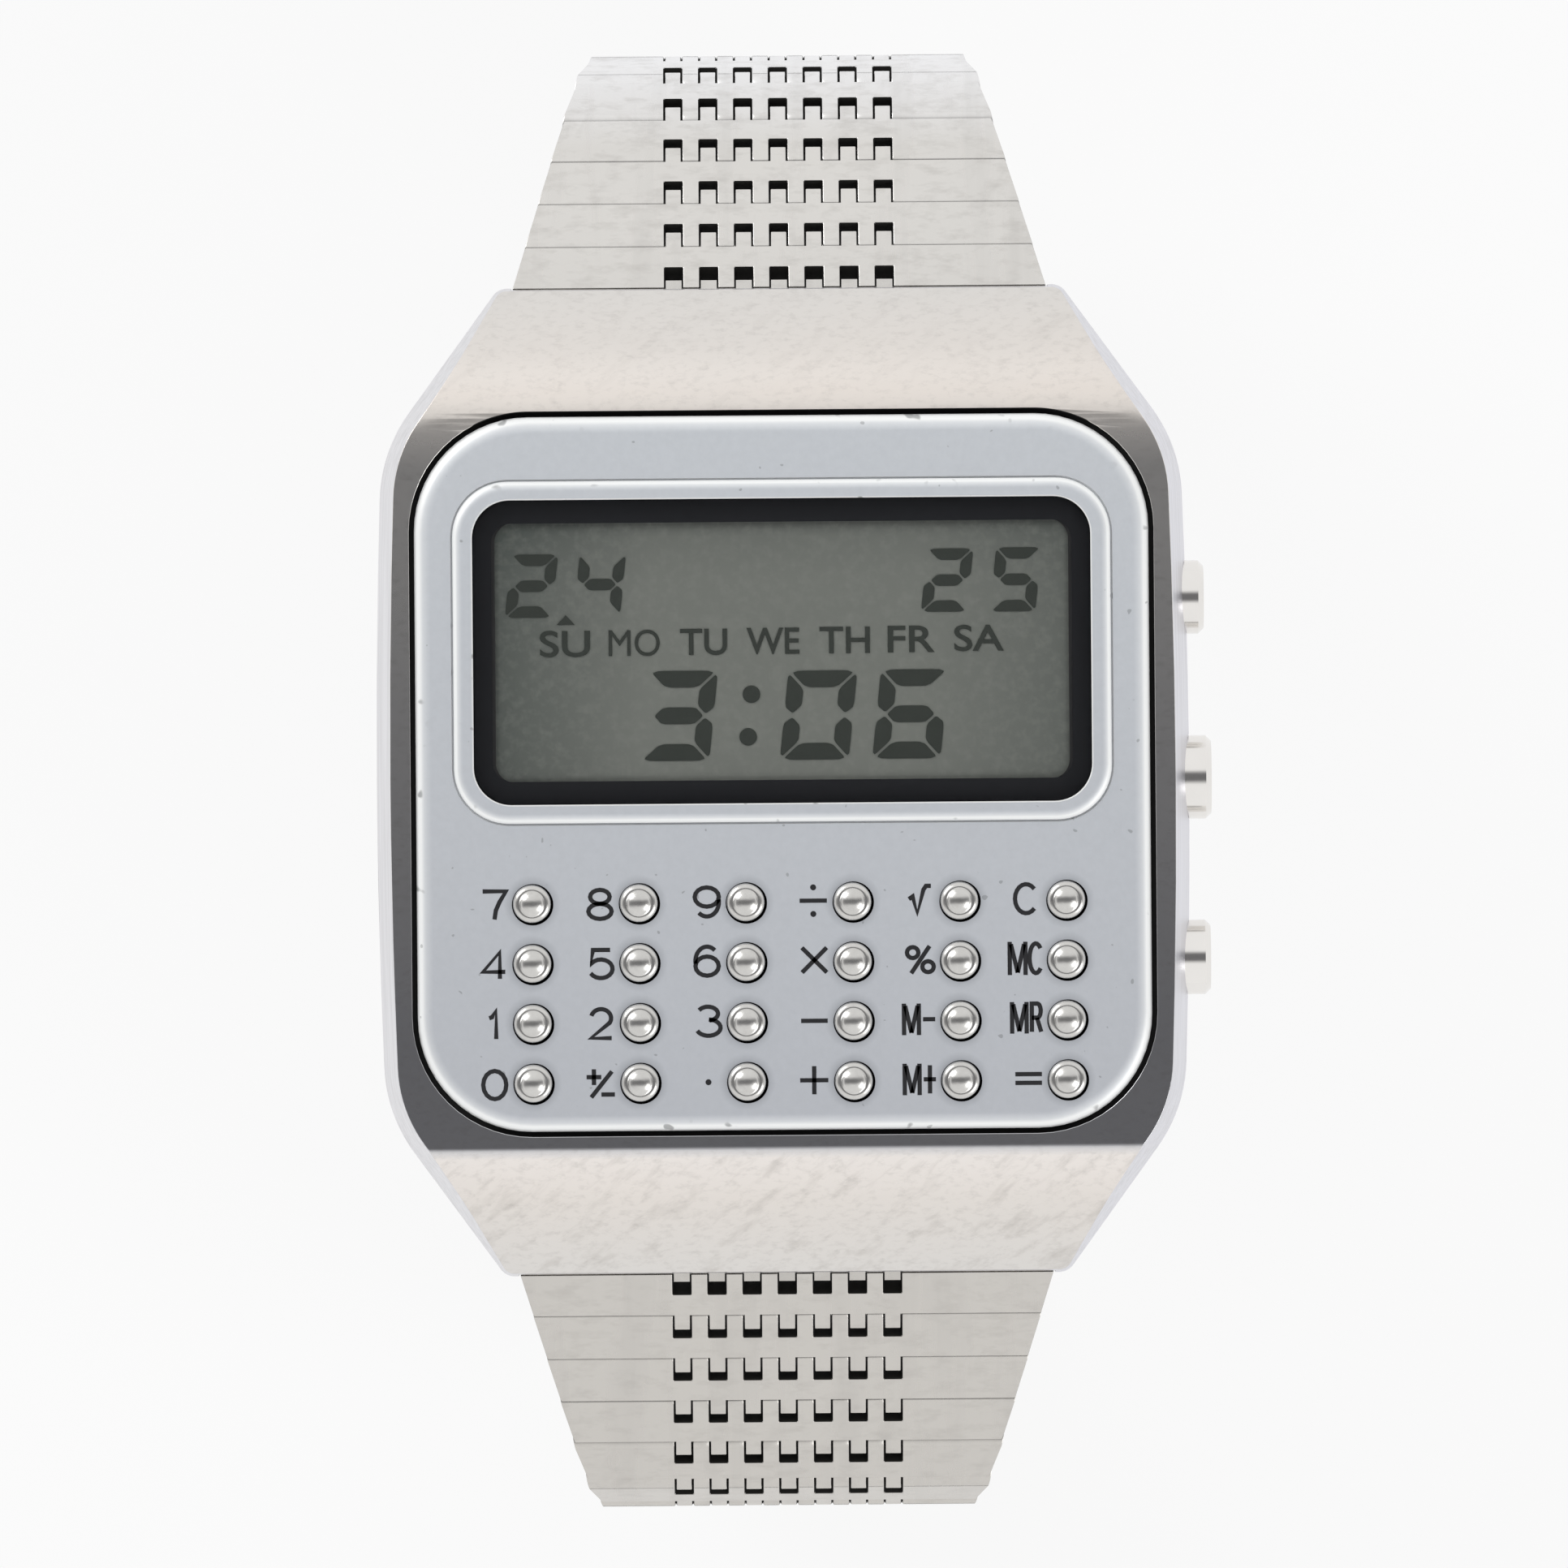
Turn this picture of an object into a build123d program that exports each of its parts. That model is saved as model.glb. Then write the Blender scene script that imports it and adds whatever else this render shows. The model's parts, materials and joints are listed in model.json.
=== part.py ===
from build123d import *
import os
from math import cos, radians, sin

# Calculator watch on a tapered bracelet of interlocking links, closed by a folding clasp.
# Millimetres. +Z points out of the face, +Y to the 12 o'clock side and +X to the side buttons.
# The origin is the centre of the clasp cover's flat outer face, on which the watch rests.

# General
overrun = 1.0              # how far every cutting tool runs past what it cuts
running_gap = 0.05         # shaft in its hole, each side
seat_gap = 0.02            # hidden flat seats

# Case
case_width = 37.0
case_length = 45.0
case_thickness = 10.3      # from the back's outer face to the flat top ring
side_bulge = 0.3           # how far the sides bow out at the middle
shoulder_set = 7.4         # from the lug tip back to where side and lug would meet in a corner
shoulder_radius = 7.0
lug_wall = 0.65            # steel each side of the bracelet, where it enters the lugs
lug_tip_radius = 0.8
hood_length = 5.75         # from the lug tip back to the flat top
hood_radius = 2.4          # rounds the bend from the flat top
hood_break_set = 3.4       # the hood bends again this far behind the lug tip
hood_break_drop = 0.9
hood_break_radius = 5.0
hood_tip_drop = 4.2
side_bevel_width = 0.7
side_bevel_depth = 5.1      # the sides lean in above this depth under the ring

# Face plate, with its raised window border
ring_side = 1.85           # from the case's side to the plate
ring_end = 6.3             # from the lug tip to the plate
plate_y = 0.35
plate_corner_radius = 5.2
plate_thickness = 0.9
plate_proud = 0.25
plate_gap = 0.22
plate_rim = 0.35
border_side_set = 1.75     # from the plate's sides to the border
border_top_share = 0.0904  # from the plate's upper edge to the border, of the plate's length
border_length_share = 0.4784
border_radius = 2.5
border_height = 0.25
border_side = 0.9          # width of the border at its sides
border_end = 0.85
frame_radius = 1.7
frame_ledge = 1.0          # the ledge on which the glass rests
glass_thickness = 0.7
glass_gap = 0.04
glass_inset = 0.15
mask_thickness = 0.1
mask_side = 0.85           # width of the black frame at its sides
mask_end = 1.05
lcd_window_radius = 0.9
lcd_thickness = 1.6
lcd_wall = 1.2             # how far the display reaches past its window

# Keys
key_columns = 6
key_rows = 4
key_side_margin = 4.55     # from the plate's side to the outer keys, if the grid were in the middle
key_grid_x = 0.68
first_row_share = 0.681    # from the plate's upper edge to a row, of the plate's length
last_row_share = 0.932
key_diameter = 1.77
key_gap = 0.05
key_sides = 16
key_proud = 0.35
key_collar_width = 0.34
key_collar_height = 0.22
key_foot_drop = 0.4        # how far the foot stands under the plate
key_travel = 0.3
membrane_gap = 0.05        # left under a pressed key
membrane_margin = 0.2

# Case hollow, back and module
plate_seat_side = 1.35     # the shoulder under the plate's edge
plate_seat_end = 1.0
cavity_corner = 1.4        # its corners are cut off straight
back_thickness = 1.0
back_seat_side = 1.7       # how far the back reaches past the hollow
back_seat_end = 1.6
back_radius = 2.6
gasket_width = 0.24        # it lies in the gap between the module and the case
gasket_depth = 0.8
module_gap = 0.3
module_wall = 1.2
board_thickness = 0.6
cell_diameter = 7.9
cell_thickness = 2.1
cell_pitch = 10.4
cell_gap = 0.15
strap_thickness = 0.2
strap_width = 3.0
chip_side = 5.0
chip_height = 0.8
crystal_diameter = 1.5
crystal_length = 5.0
part_spacing = 7.0

# Side buttons
pusher_pitch = 8.2
pusher_diameters = (3.35, 3.8, 3.4)
pusher_reaches = (0.8, 1.0, 1.0)
pusher_travel = 0.6
pusher_stem_share = 0.42
stem_sides = 12
pusher_edge = 0.25
contact_thickness = 0.15
contact_width = 2.4
contact_height = 2.0
pusher_z_share = 0.47
pusher_bore_depth = 2.0
seal_thickness = 0.6

# Bracelet
link_pitch = 2.3
link_thickness = 1.9
pin_depth_share = 0.5      # depth of the hinge line under the outer face, of the thickness
link_gap = 0.06
finger_count = 7
finger_pitch = 1.6
finger_width = 0.72
notch_width = 0.86
notch_depth = 1.1
finger_reach = 0.74        # from the seam to the finger's tip
seam_set = 0.45            # from the seam to the hinge line
link_inner_relief = 0.45   # how much shorter each end is at the inner face
link_width_case = 24.3
link_width_end = 16.0
taper_links = 7
first_pin_set = 0.12       # first hinge line behind the lug tip
first_pin_height = 4.4     # hinge line over the case back's outer face
link_tilts = (30, 31, 32.5, 36, 48, 72, 92, 97, 100, 103, 106, 110, 115, 121, 128, 136, 145, 154, 163)
links_per_group = (5, 1, 7, 3, 3)
end_link_depth = 3.1
end_link_height = 2.8
end_link_tilt = 12         # how far its fingers point down, so that the first link can lift
lug_pin_set = 1.95         # spring bar axis behind the lug tip
lug_pin_diameter = 1.3
lug_pin_reach = 0.35       # how far its tips enter the lugs
end_gap = 0.06

# Folding clasp
clasp_width = 17.6
clasp_wall = 0.8
cover_rise = 3.3
blade_width = 13.6
blade_thickness = 0.6
blade_lift = 0.15          # air between the cover and the first blade
inner_blade_lift = 2.45    # underside of the second blade over the clasp's outer face
inner_blade_reach = 0.9    # its full width ends this far past the first fold
knuckle_count = 3          # knuckles along each fold
fold_pin_set = 2.8         # first fold axis inside the bracelet's last hinge line
fold_pin_height = 1.6
fold_knuckle_diameter = 1.5
turn_pin_set = 3.9         # second fold axis, at the other end
turn_pin_height = 2.0
turn_knuckle_diameter = 1.8
end_knuckle_diameter = 1.9
end_knuckle_width = 9.0
clasp_pin_diameter = 0.8
clasp_pin_height = 1.75    # the bracelet's last hinge line over the clasp's outer face
side_gap = 0.1             # between knuckles, along their pin
ear_wall = 0.4             # steel round the spring bar at the last link's tip
end_knuckle_gap = 0.3      # between the clasp's end knuckles and the last links

# Sizes that follow from the ones above
lug_y = case_length / 2
shoulder_y = lug_y - shoulder_set
lug_tip_width = link_width_case + 2 * lug_wall
hood_start_y = lug_y - hood_length
hood_break_y = lug_y - hood_break_set
plate_width = case_width - 2 * ring_side
plate_length = case_length - 2 * ring_end
border_width = plate_width - 2 * border_side_set
border_length = plate_length * border_length_share
plate_top_y = plate_y + plate_length / 2
window_y = plate_top_y - plate_length * border_top_share - border_length / 2
frame_width = border_width - 2 * border_side
frame_length = border_length - 2 * border_end
lcd_window_width = frame_width - 2 * mask_side
lcd_window_length = frame_length - 2 * mask_end
key_pitch_x = (plate_width - 2 * key_side_margin) / (key_columns - 1)
key_pitch_y = plate_length * (last_row_share - first_row_share) / (key_rows - 1)
key_grid_y = plate_top_y - plate_length * (first_row_share + last_row_share) / 2
cavity_width = plate_width - 2 * plate_seat_side
cavity_length = plate_length - 2 * plate_seat_end
back_width = cavity_width + 2 * back_seat_side
back_length = cavity_length + 2 * back_seat_end
first_pin_y = lug_y - first_pin_set
knuckle_width = blade_width / knuckle_count

# Levels that follow from the sizes above
chain_run = sum(link_pitch * cos(radians(tilt)) for tilt in link_tilts)
chain_drop = sum(link_pitch * sin(radians(tilt)) for tilt in link_tilts)
last_pin_y = first_pin_y + chain_run
first_pin_z = clasp_pin_height + chain_drop
back_z = first_pin_z - first_pin_height
body_z = back_z + back_thickness
ring_z = back_z + case_thickness
plate_z = ring_z + plate_proud
plate_under_z = plate_z - plate_thickness
glass_z = plate_z + border_height - glass_inset
mask_z = glass_z - glass_thickness - mask_thickness
lcd_z = plate_under_z - seat_gap
board_z = lcd_z - lcd_thickness - seat_gap
board_under_z = board_z - board_thickness
key_radius = key_diameter / 2
key_foot_z = plate_under_z - key_foot_drop
membrane_z = key_foot_z - key_travel - membrane_gap
frame_outer_x = cavity_width / 2 - module_gap
pusher_z = back_z + pusher_z_share * case_thickness
lug_pin_y = lug_y - lug_pin_set
link_outer = pin_depth_share * link_thickness
link_inner = link_thickness - link_outer
fold_y = last_pin_y - fold_pin_set
turn_y = turn_pin_set - last_pin_y


def slab(width, length, radius, z_low, z_high, y=0):
    """A flat plate with rounded corners between two levels."""
    outline = Pos(0, y, z_low) * RectangleRounded(width, length, radius)
    return extrude(outline, z_high - z_low)


def prism(points, width, x=0):
    """A side outline of (y, z) points, drawn along X and centred on x."""
    outline = Polyline(*[(0, y, z) for y, z in points], close=True)
    face = make_face(Pos(x - width / 2, 0, 0) * outline)
    return extrude(face, width, dir=(1, 0, 0))


def rod(diameter, length, y, z, x=0):
    """A round bar along X, centred on x."""
    return Pos(x, y, z) * Rot(0, 90, 0) * Cylinder(diameter / 2, length)


def stem_bar(diameter, length, y, z, x=0):
    """A many-sided bar along X, centred on x, for hidden stems and the bores round them."""
    outline = RegularPolygon(diameter / 2, stem_sides)
    return Pos(x - length / 2, y, z) * Rot(0, 90, 0) * extrude(outline, length)


def case_outline():
    """The case seen from above: bowed sides, slanted lugs and rounded corners."""
    half = case_width / 2 - side_bulge
    tip = lug_tip_width / 2
    right = ThreePointArc((half, -shoulder_y), (case_width / 2, 0), (half, shoulder_y))
    left = ThreePointArc((-half, shoulder_y), (-case_width / 2, 0), (-half, -shoulder_y))
    top = Polyline((half, shoulder_y), (tip, lug_y), (-tip, lug_y), (-half, shoulder_y))
    bottom = Polyline((-half, -shoulder_y), (-tip, -lug_y), (tip, -lug_y), (half, -shoulder_y))
    face = make_face([right, top, left, bottom])
    shoulders = [v for v in face.vertices() if abs(v.Y) < (shoulder_y + lug_y) / 2]
    face = fillet(shoulders, shoulder_radius)
    tips = [v for v in face.vertices() if abs(v.Y) > lug_y - lug_tip_radius]
    return fillet(tips, lug_tip_radius)


def case_side_block():
    """The case seen from the side: flat top, then hoods that curve down over the bracelet."""
    half = [
        (lug_y, body_z),
        (lug_y, ring_z - hood_tip_drop),
        (hood_break_y, ring_z - hood_break_drop),
        (hood_start_y, ring_z),
    ]
    width = case_width + overrun
    block = prism(half + [(-y, z) for y, z in reversed(half)], width)
    across = block.edges().filter_by(Axis.X)
    bends = [edge for edge in across if abs(edge.center().Z - ring_z) < hood_break_drop / 2]
    block = fillet(bends, hood_radius)
    across = block.edges().filter_by(Axis.X)
    breaks = [edge for edge in across if abs(edge.center().Z - ring_z + hood_break_drop) < running_gap]
    return fillet(breaks, hood_break_radius)


def make_case_body():
    """The steel case: upright sides that lean in above, two hoods, and its hollows."""
    outline = case_outline()
    lean_z = ring_z - side_bevel_depth
    top = offset(outline, -side_bevel_width, kind=Kind.INTERSECTION)
    block = extrude(Pos(0, 0, body_z) * outline, lean_z - body_z)
    block = block + loft([Pos(0, 0, lean_z) * outline, Pos(0, 0, ring_z) * top], ruled=True)
    block = block & case_side_block()
    recess = slab(
        plate_width + 2 * plate_gap,
        plate_length + 2 * plate_gap,
        plate_corner_radius + plate_gap,
        plate_under_z - seat_gap,
        ring_z + overrun,
        plate_y,
    )
    cavity = cut_slab(0, body_z - overrun, ring_z)
    return block - [recess, cavity] - lug_recesses() - pusher_bores()


def lug_recesses():
    """Room under each hood for the bracelet's end link and its spring bar."""
    tools = []
    width = link_width_case + 2 * end_gap
    bottom = body_z - overrun
    top = first_pin_z + end_link_height / 2 + end_gap
    start = lug_y - end_link_depth - end_gap
    for side in (1, -1):
        points = [(side * y, z) for y, z in (
            (start, bottom), (lug_y + overrun, bottom), (lug_y + overrun, top), (start, top))]
        tools.append(prism(points, width))
        tools.append(rod(lug_pin_diameter + 2 * running_gap, width + 2 * lug_pin_reach + 2 * seat_gap,
                         side * lug_pin_y, first_pin_z))
    return tools


def side_x(y):
    """Half-width of the case's bowed side at a height y on the face."""
    return case_width / 2 - side_bulge * (y / shoulder_y) ** 2


def pusher_places():
    """Each side button's name, place along the side, diameter and reach."""
    names = ("pusher_upper", "pusher_middle", "pusher_lower")
    places = (pusher_pitch, 0, -pusher_pitch)
    return list(zip(names, places, pusher_diameters, pusher_reaches))


def pusher_bores():
    tools = []
    for _, y, diameter, _ in pusher_places():
        surface = side_x(y)
        floor = surface - pusher_bore_depth
        head = rod(diameter + 2 * running_gap, pusher_bore_depth + overrun, y, pusher_z,
                   floor + (pusher_bore_depth + overrun) / 2)
        stem_bore = pusher_stem_share * diameter + 2 * running_gap
        reach = surface - cavity_width / 2 + overrun
        tools.append(head)
        tools.append(stem_bar(stem_bore, reach, y, pusher_z, surface - reach / 2))
    return tools


def make_pusher(y, diameter, reach):
    """A round steel head with a softened edge, on a thinner stem."""
    surface = side_x(y)
    inner = surface - pusher_bore_depth + seal_thickness + pusher_travel + seat_gap
    outer = surface + reach
    head = rod(diameter, outer - inner, y, pusher_z, (outer + inner) / 2)
    face = head.faces().sort_by(Axis.X)[-1]
    head = chamfer(face.edges(), pusher_edge)
    tip = frame_outer_x + contact_thickness + pusher_travel + running_gap
    return head + stem_bar(pusher_stem_share * diameter, inner - tip, y, pusher_z, (inner + tip) / 2)


def make_pusher_seals():
    """A rubber ring on each stem, at the bottom of the button's bore."""
    seals = []
    for _, y, diameter, _ in pusher_places():
        floor = side_x(y) - pusher_bore_depth + seat_gap
        middle = floor + seal_thickness / 2
        ring = stem_bar(diameter - 2 * running_gap, seal_thickness - seat_gap, y, pusher_z, middle)
        hole = stem_bar(pusher_stem_share * diameter + 2 * running_gap, overrun + seal_thickness,
                        y, pusher_z, middle)
        seals.append(ring - hole)
    return Compound(children=[solid for seal in seals for solid in seal.solids()])


def make_contact_springs():
    """A thin leaf on the module's edge behind each button, pressed by its stem."""
    leaves = []
    middle = frame_outer_x + seat_gap + (contact_thickness - seat_gap) / 2
    for _, y, diameter, _ in pusher_places():
        size = (contact_thickness - seat_gap, contact_width, contact_height)
        leaves.append((Pos(middle, y, pusher_z) * Box(*size)).solid())
    return Compound(children=leaves)


def cut_slab(inset, z_low, z_high):
    """A flat block that follows the case hollow, set in from its walls by an inset."""
    plan = Rectangle(cavity_width - 2 * inset, cavity_length - 2 * inset)
    plan = chamfer(plan.vertices(), cavity_corner)
    return extrude(Pos(0, plate_y, z_low) * plan, z_high - z_low)


def make_back_gasket():
    """The rubber ring between the module and the case, squeezed by the back."""
    low = body_z + seat_gap
    outer = cut_slab(seat_gap, low, low + gasket_depth)
    return outer - cut_slab(seat_gap + gasket_width, low - overrun, low + gasket_depth + overrun)


def make_case_back():
    """The flat steel back, screwed on at its corners."""
    return slab(back_width, back_length, back_radius, back_z, body_z, plate_y)


def upright(x, y, diameter, z_low, z_high):
    """An upright round bar between two levels."""
    height = z_high - z_low
    return Pos(x, y, (z_low + z_high) / 2) * Cylinder(diameter / 2, height)


def key_places():
    """Each key's place on the face, row by row from the top left."""
    places = []
    for row in range(key_rows):
        for column in range(key_columns):
            x = key_grid_x + (column - (key_columns - 1) / 2) * key_pitch_x
            y = key_grid_y + ((key_rows - 1) / 2 - row) * key_pitch_y
            places.append((x, y))
    return places


def make_face_plate():
    """A satin plate with a raised window border, a ledge for the glass and round key holes."""
    plate = slab(plate_width, plate_length, plate_corner_radius, plate_under_z, plate_z, plate_y)
    rim = plate.faces().sort_by(Axis.Z)[-1].edges()
    plate = chamfer(rim, plate_rim)
    border = slab(border_width, border_length, border_radius,
                  plate_under_z, plate_z + border_height, window_y)
    plate = plate + border
    frame = slab(frame_width, frame_length, frame_radius,
                 mask_z, glass_z + overrun, window_y)
    ledge = slab(frame_width - 2 * frame_ledge, frame_length - 2 * frame_ledge, lcd_window_radius,
                 plate_under_z - overrun, glass_z, window_y)
    hole = key_disc(key_radius + key_gap, plate_under_z - overrun, plate_z + overrun)
    return plate - [frame, ledge] - [Pos(x, y, 0) * hole for x, y in key_places()]


def make_display_glass():
    return slab(frame_width - 2 * glass_gap, frame_length - 2 * glass_gap, frame_radius - glass_gap,
                mask_z + mask_thickness, glass_z, window_y)


def make_display_mask():
    """The thin black frame behind the glass, open over the digits."""
    mask = slab(frame_width - 2 * glass_gap, frame_length - 2 * glass_gap, frame_radius - glass_gap,
                mask_z, mask_z + mask_thickness, window_y)
    window = slab(lcd_window_width, lcd_window_length, lcd_window_radius,
                  mask_z - overrun, mask_z + overrun, window_y)
    return mask - window


def make_lcd_panel():
    size = (lcd_window_width + 2 * lcd_wall, lcd_window_length + 2 * lcd_wall, lcd_thickness)
    return Pos(0, window_y, lcd_z - lcd_thickness / 2) * Box(*size)


def key_disc(radius, z_low, z_high):
    """A many-sided disc, used for the keys and their holes because there are so many."""
    return extrude(Pos(0, 0, z_low) * RegularPolygon(radius, key_sides), z_high - z_low)


def make_key():
    """One steel key: a plain shank with a collar that slopes up to a flat."""
    top = plate_z + key_proud
    shank = key_disc(key_radius, key_foot_z, top - key_collar_height)
    seat = Pos(0, 0, top - key_collar_height) * RegularPolygon(key_radius, key_sides)
    flat = Pos(0, 0, top) * RegularPolygon(key_radius - key_collar_width, key_sides)
    return shank + loft([seat, flat], ruled=True)


def make_keypad_membrane():
    """The rubber sheet under the keys, on the circuit board."""
    width = (key_columns - 1) * key_pitch_x + key_diameter + 2 * membrane_margin
    length = (key_rows - 1) * key_pitch_y + key_diameter + 2 * membrane_margin
    low = board_z + seat_gap
    middle = (low + membrane_z) / 2
    return Pos(key_grid_x, key_grid_y, middle) * Box(width, length, membrane_z - low)


def make_circuit_board():
    return cut_slab(module_gap, board_under_z, board_z)


def make_board_components():
    """The calculator chip and the timekeeping crystal under the board."""
    under = board_under_z - seat_gap
    chip = Pos(part_spacing, plate_y + part_spacing, under - chip_height / 2) * Box(
        chip_side, chip_side, chip_height)
    crystal = rod(crystal_diameter, crystal_length, plate_y + part_spacing,
                  under - crystal_diameter / 2, -part_spacing)
    return Compound(children=[chip.solid(), crystal.solid()])


def make_battery_strap():
    """The spring strap between the cells and the case back."""
    length = cell_pitch + cell_diameter
    low = body_z + seat_gap
    return Pos(0, plate_y, low + strap_thickness / 2) * Box(length, strap_width, strap_thickness)


def make_button_cells():
    low = body_z + seat_gap + strap_thickness + seat_gap
    cells = [upright(i * cell_pitch / 2, plate_y, cell_diameter, low, low + cell_thickness)
             for i in (1, -1)]
    return Compound(children=[cell.solid() for cell in cells])


def make_module_frame():
    """The moulded tray that carries the board and holds the cells in two wells."""
    low = body_z + seat_gap
    tray = cut_slab(module_gap, low, board_under_z - seat_gap)
    cell_top = low + strap_thickness + cell_thickness + 2 * seat_gap
    room = cut_slab(module_gap + module_wall, cell_top + module_wall, board_z)
    wells = [upright(i * cell_pitch / 2, plate_y, cell_diameter + 2 * cell_gap,
                       low - overrun, cell_top)
             for i in (1, -1)]
    groove = Pos(0, plate_y, low) * Box(cell_pitch + cell_diameter + 2 * cell_gap,
                                        strap_width + 2 * cell_gap,
                                        2 * (strap_thickness + seat_gap))
    return tray - [room, groove] - wells


def link_width(index):
    """Bracelet width at the start of a link, counted from the case."""
    taper = min(index / taper_links, 1)
    return link_width_case + (link_width_end - link_width_case) * taper


def finger_places():
    return [(i - (finger_count - 1) / 2) * finger_pitch for i in range(finger_count)]


def tapered_block(profile, near_width, far_width, near_y, far_y):
    """A side outline drawn across the bracelet, with its sides cut to the taper."""
    block = prism(profile, near_width + overrun)
    plan = Polyline(
        (-near_width / 2, near_y), (near_width / 2, near_y),
        (far_width / 2, far_y), (-far_width / 2, far_y), close=True)
    sides = extrude(Pos(0, 0, -link_inner - overrun) * make_face(plan),
                    link_thickness + 2 * overrun)
    return block & sides


def make_link(index, last):
    """One link with notches towards the case and fingers away from it.

    Its near hinge line is the X axis, its far one lies a pitch further along Y, and its outer
    face looks up. Both ends lean inwards below, so that the bracelet can curl round a wrist.
    """
    near = -seam_set
    far = link_pitch - seam_set - link_gap
    if last:
        far = link_pitch - end_knuckle_diameter / 2 - end_knuckle_gap
    near_under = near + link_inner_relief / 2
    far_under = far - link_inner_relief / 2
    profile = [(near, link_outer), (near_under, -link_inner),
               (far_under, -link_inner), (far, link_outer)]
    block = tapered_block(profile, link_width(index), link_width(index + 1), near, far)
    notch = [(near - overrun, link_outer + overrun), (near - overrun, -link_inner - overrun),
             (near + notch_depth, -link_inner - overrun),
             (near + notch_depth, link_outer + overrun)]
    block = block - [prism(notch, notch_width, x) for x in finger_places()]
    if last:
        return (block + end_ears(index)).solid()
    return (block + link_fingers(far)).solid()


def link_fingers(far):
    """Seven fingers at a link's far end, each tapering towards the wrist."""
    tip = far + finger_reach
    tip_under = tip - link_inner_relief / 2
    far_under = far - link_inner_relief
    finger = [(far_under, link_outer), (far_under, -link_inner),
              (tip_under, -link_inner), (tip, link_outer)]
    return [prism(finger, finger_width, x) for x in finger_places()]


def end_ears(index):
    """The last link's two ears beside the clasp's knuckle, bored for the spring bar."""
    outer = link_width(index + 1) / 2
    inner = end_knuckle_width / 2 + side_gap
    root = notch_depth - seam_set + link_gap
    tip = link_pitch + clasp_pin_diameter / 2 + running_gap + ear_wall
    ear = [(root, link_outer), (root, -link_inner), (tip, -link_inner), (tip, link_outer)]
    ears = [prism(ear, outer - inner, i * (outer + inner) / 2) for i in (1, -1)]
    bore = rod(clasp_pin_diameter + 2 * running_gap, 2 * outer + overrun, link_pitch, 0)
    return [e - bore for e in ears]


def chain_pins():
    """Height, place and tilt of every link's near hinge line, from the case outwards."""
    pins = []
    y = first_pin_y
    z = first_pin_z
    for tilt in link_tilts:
        pins.append((y, z, tilt))
        y += link_pitch * cos(radians(tilt))
        z -= link_pitch * sin(radians(tilt))
    return pins


def lay_along(side, y, z, tilt):
    """Place of a link whose near hinge line is at y, z, on the 12 o'clock side or the other."""
    turn = Rot(0, 0, 0) if side > 0 else Rot(0, 0, 180)
    return Pos(0, side * y, z) * turn * Rot(-tilt, 0, 0)


def make_link_groups(side):
    """The bracelet's links on one side, in the groups that turn together."""
    links = []
    for index, (y, z, tilt) in enumerate(chain_pins()):
        last = index == len(link_tilts) - 1
        links.append(lay_along(side, y, z, tilt) * make_link(index, last))
    groups = []
    start = 0
    for count in links_per_group:
        groups.append(Compound(children=[link.solid() for link in links[start:start + count]]))
        start += count
    return groups


def end_link_point(along, out):
    """A place given along and out of the end link's fingers, from the first hinge line."""
    lean = radians(end_link_tilt)
    return (first_pin_y + along * cos(lean) + out * sin(lean),
            first_pin_z - along * sin(lean) + out * cos(lean))


def make_end_link(side):
    """The solid piece under the hood, whose fingers carry the first link."""
    back = lug_y - end_link_depth
    low = first_pin_z - end_link_height / 2
    high = first_pin_z + end_link_height / 2
    front = -seam_set - link_gap
    front_outer = end_link_point(front, link_outer)
    front_inner = end_link_point(front - link_inner_relief, -link_inner)
    points = [(back, low), (back, high), (front_outer[0] - link_inner_relief, high), front_outer,
              front_inner, (front_inner[0], low)]
    block = prism([(side * y, z) for y, z in points], link_width_case)
    fingers = [lay_along(side, first_pin_y, first_pin_z, end_link_tilt) * finger
               for finger in link_fingers(front)]
    bore = rod(lug_pin_diameter + 2 * running_gap, link_width_case + overrun, side * lug_pin_y, first_pin_z)
    return block + fingers - bore


def make_lug_pins():
    length = link_width_case + 2 * end_gap + 2 * lug_pin_reach
    pins = [rod(lug_pin_diameter, length, side * lug_pin_y, first_pin_z) for side in (1, -1)]
    return Compound(children=[pin.solid() for pin in pins])


def make_clasp_cover():
    """A pressed channel with a flat outer face, hinged to the lower bracelet's last link."""
    end = fold_y + fold_knuckle_diameter / 2
    floor = Pos(0, 0, clasp_wall / 2) * Box(clasp_width, 2 * end, clasp_wall)
    edge = floor.faces().sort_by(Axis.Z)[0].edges().filter_by(Axis.Y)
    floor = chamfer(edge, clasp_wall / 2)
    wall_end = end - cover_rise
    wall_points = [(-end, clasp_wall / 2), (-wall_end, cover_rise), (wall_end, cover_rise),
                   (end, clasp_wall / 2)]
    wall_x = clasp_width / 2 - clasp_wall / 2
    walls = [prism(wall_points, clasp_wall, i * wall_x) for i in (1, -1)]
    neck = [(-end, 0), (-last_pin_y, clasp_wall), (-last_pin_y, clasp_pin_height),
            (-end, clasp_pin_height), (clasp_wall - end, clasp_wall), (clasp_wall - end, 0)]
    knuckle = rod(end_knuckle_diameter, end_knuckle_width, -last_pin_y, clasp_pin_height)
    foot_start = fold_y - fold_knuckle_diameter / 2
    foot = [(foot_start, 0), (foot_start, fold_pin_height), (end, fold_pin_height), (end, 0)]
    fold_knuckle = rod(fold_knuckle_diameter, knuckle_width, fold_y, fold_pin_height)
    cover = floor + walls + prism(neck, end_knuckle_width) + knuckle
    cover = cover + prism(foot, knuckle_width) + fold_knuckle
    bores = [rod(clasp_pin_diameter, end_knuckle_width + overrun, -last_pin_y, clasp_pin_height),
             rod(clasp_pin_diameter, knuckle_width + overrun, fold_y, fold_pin_height)]
    return cover - bores


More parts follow.
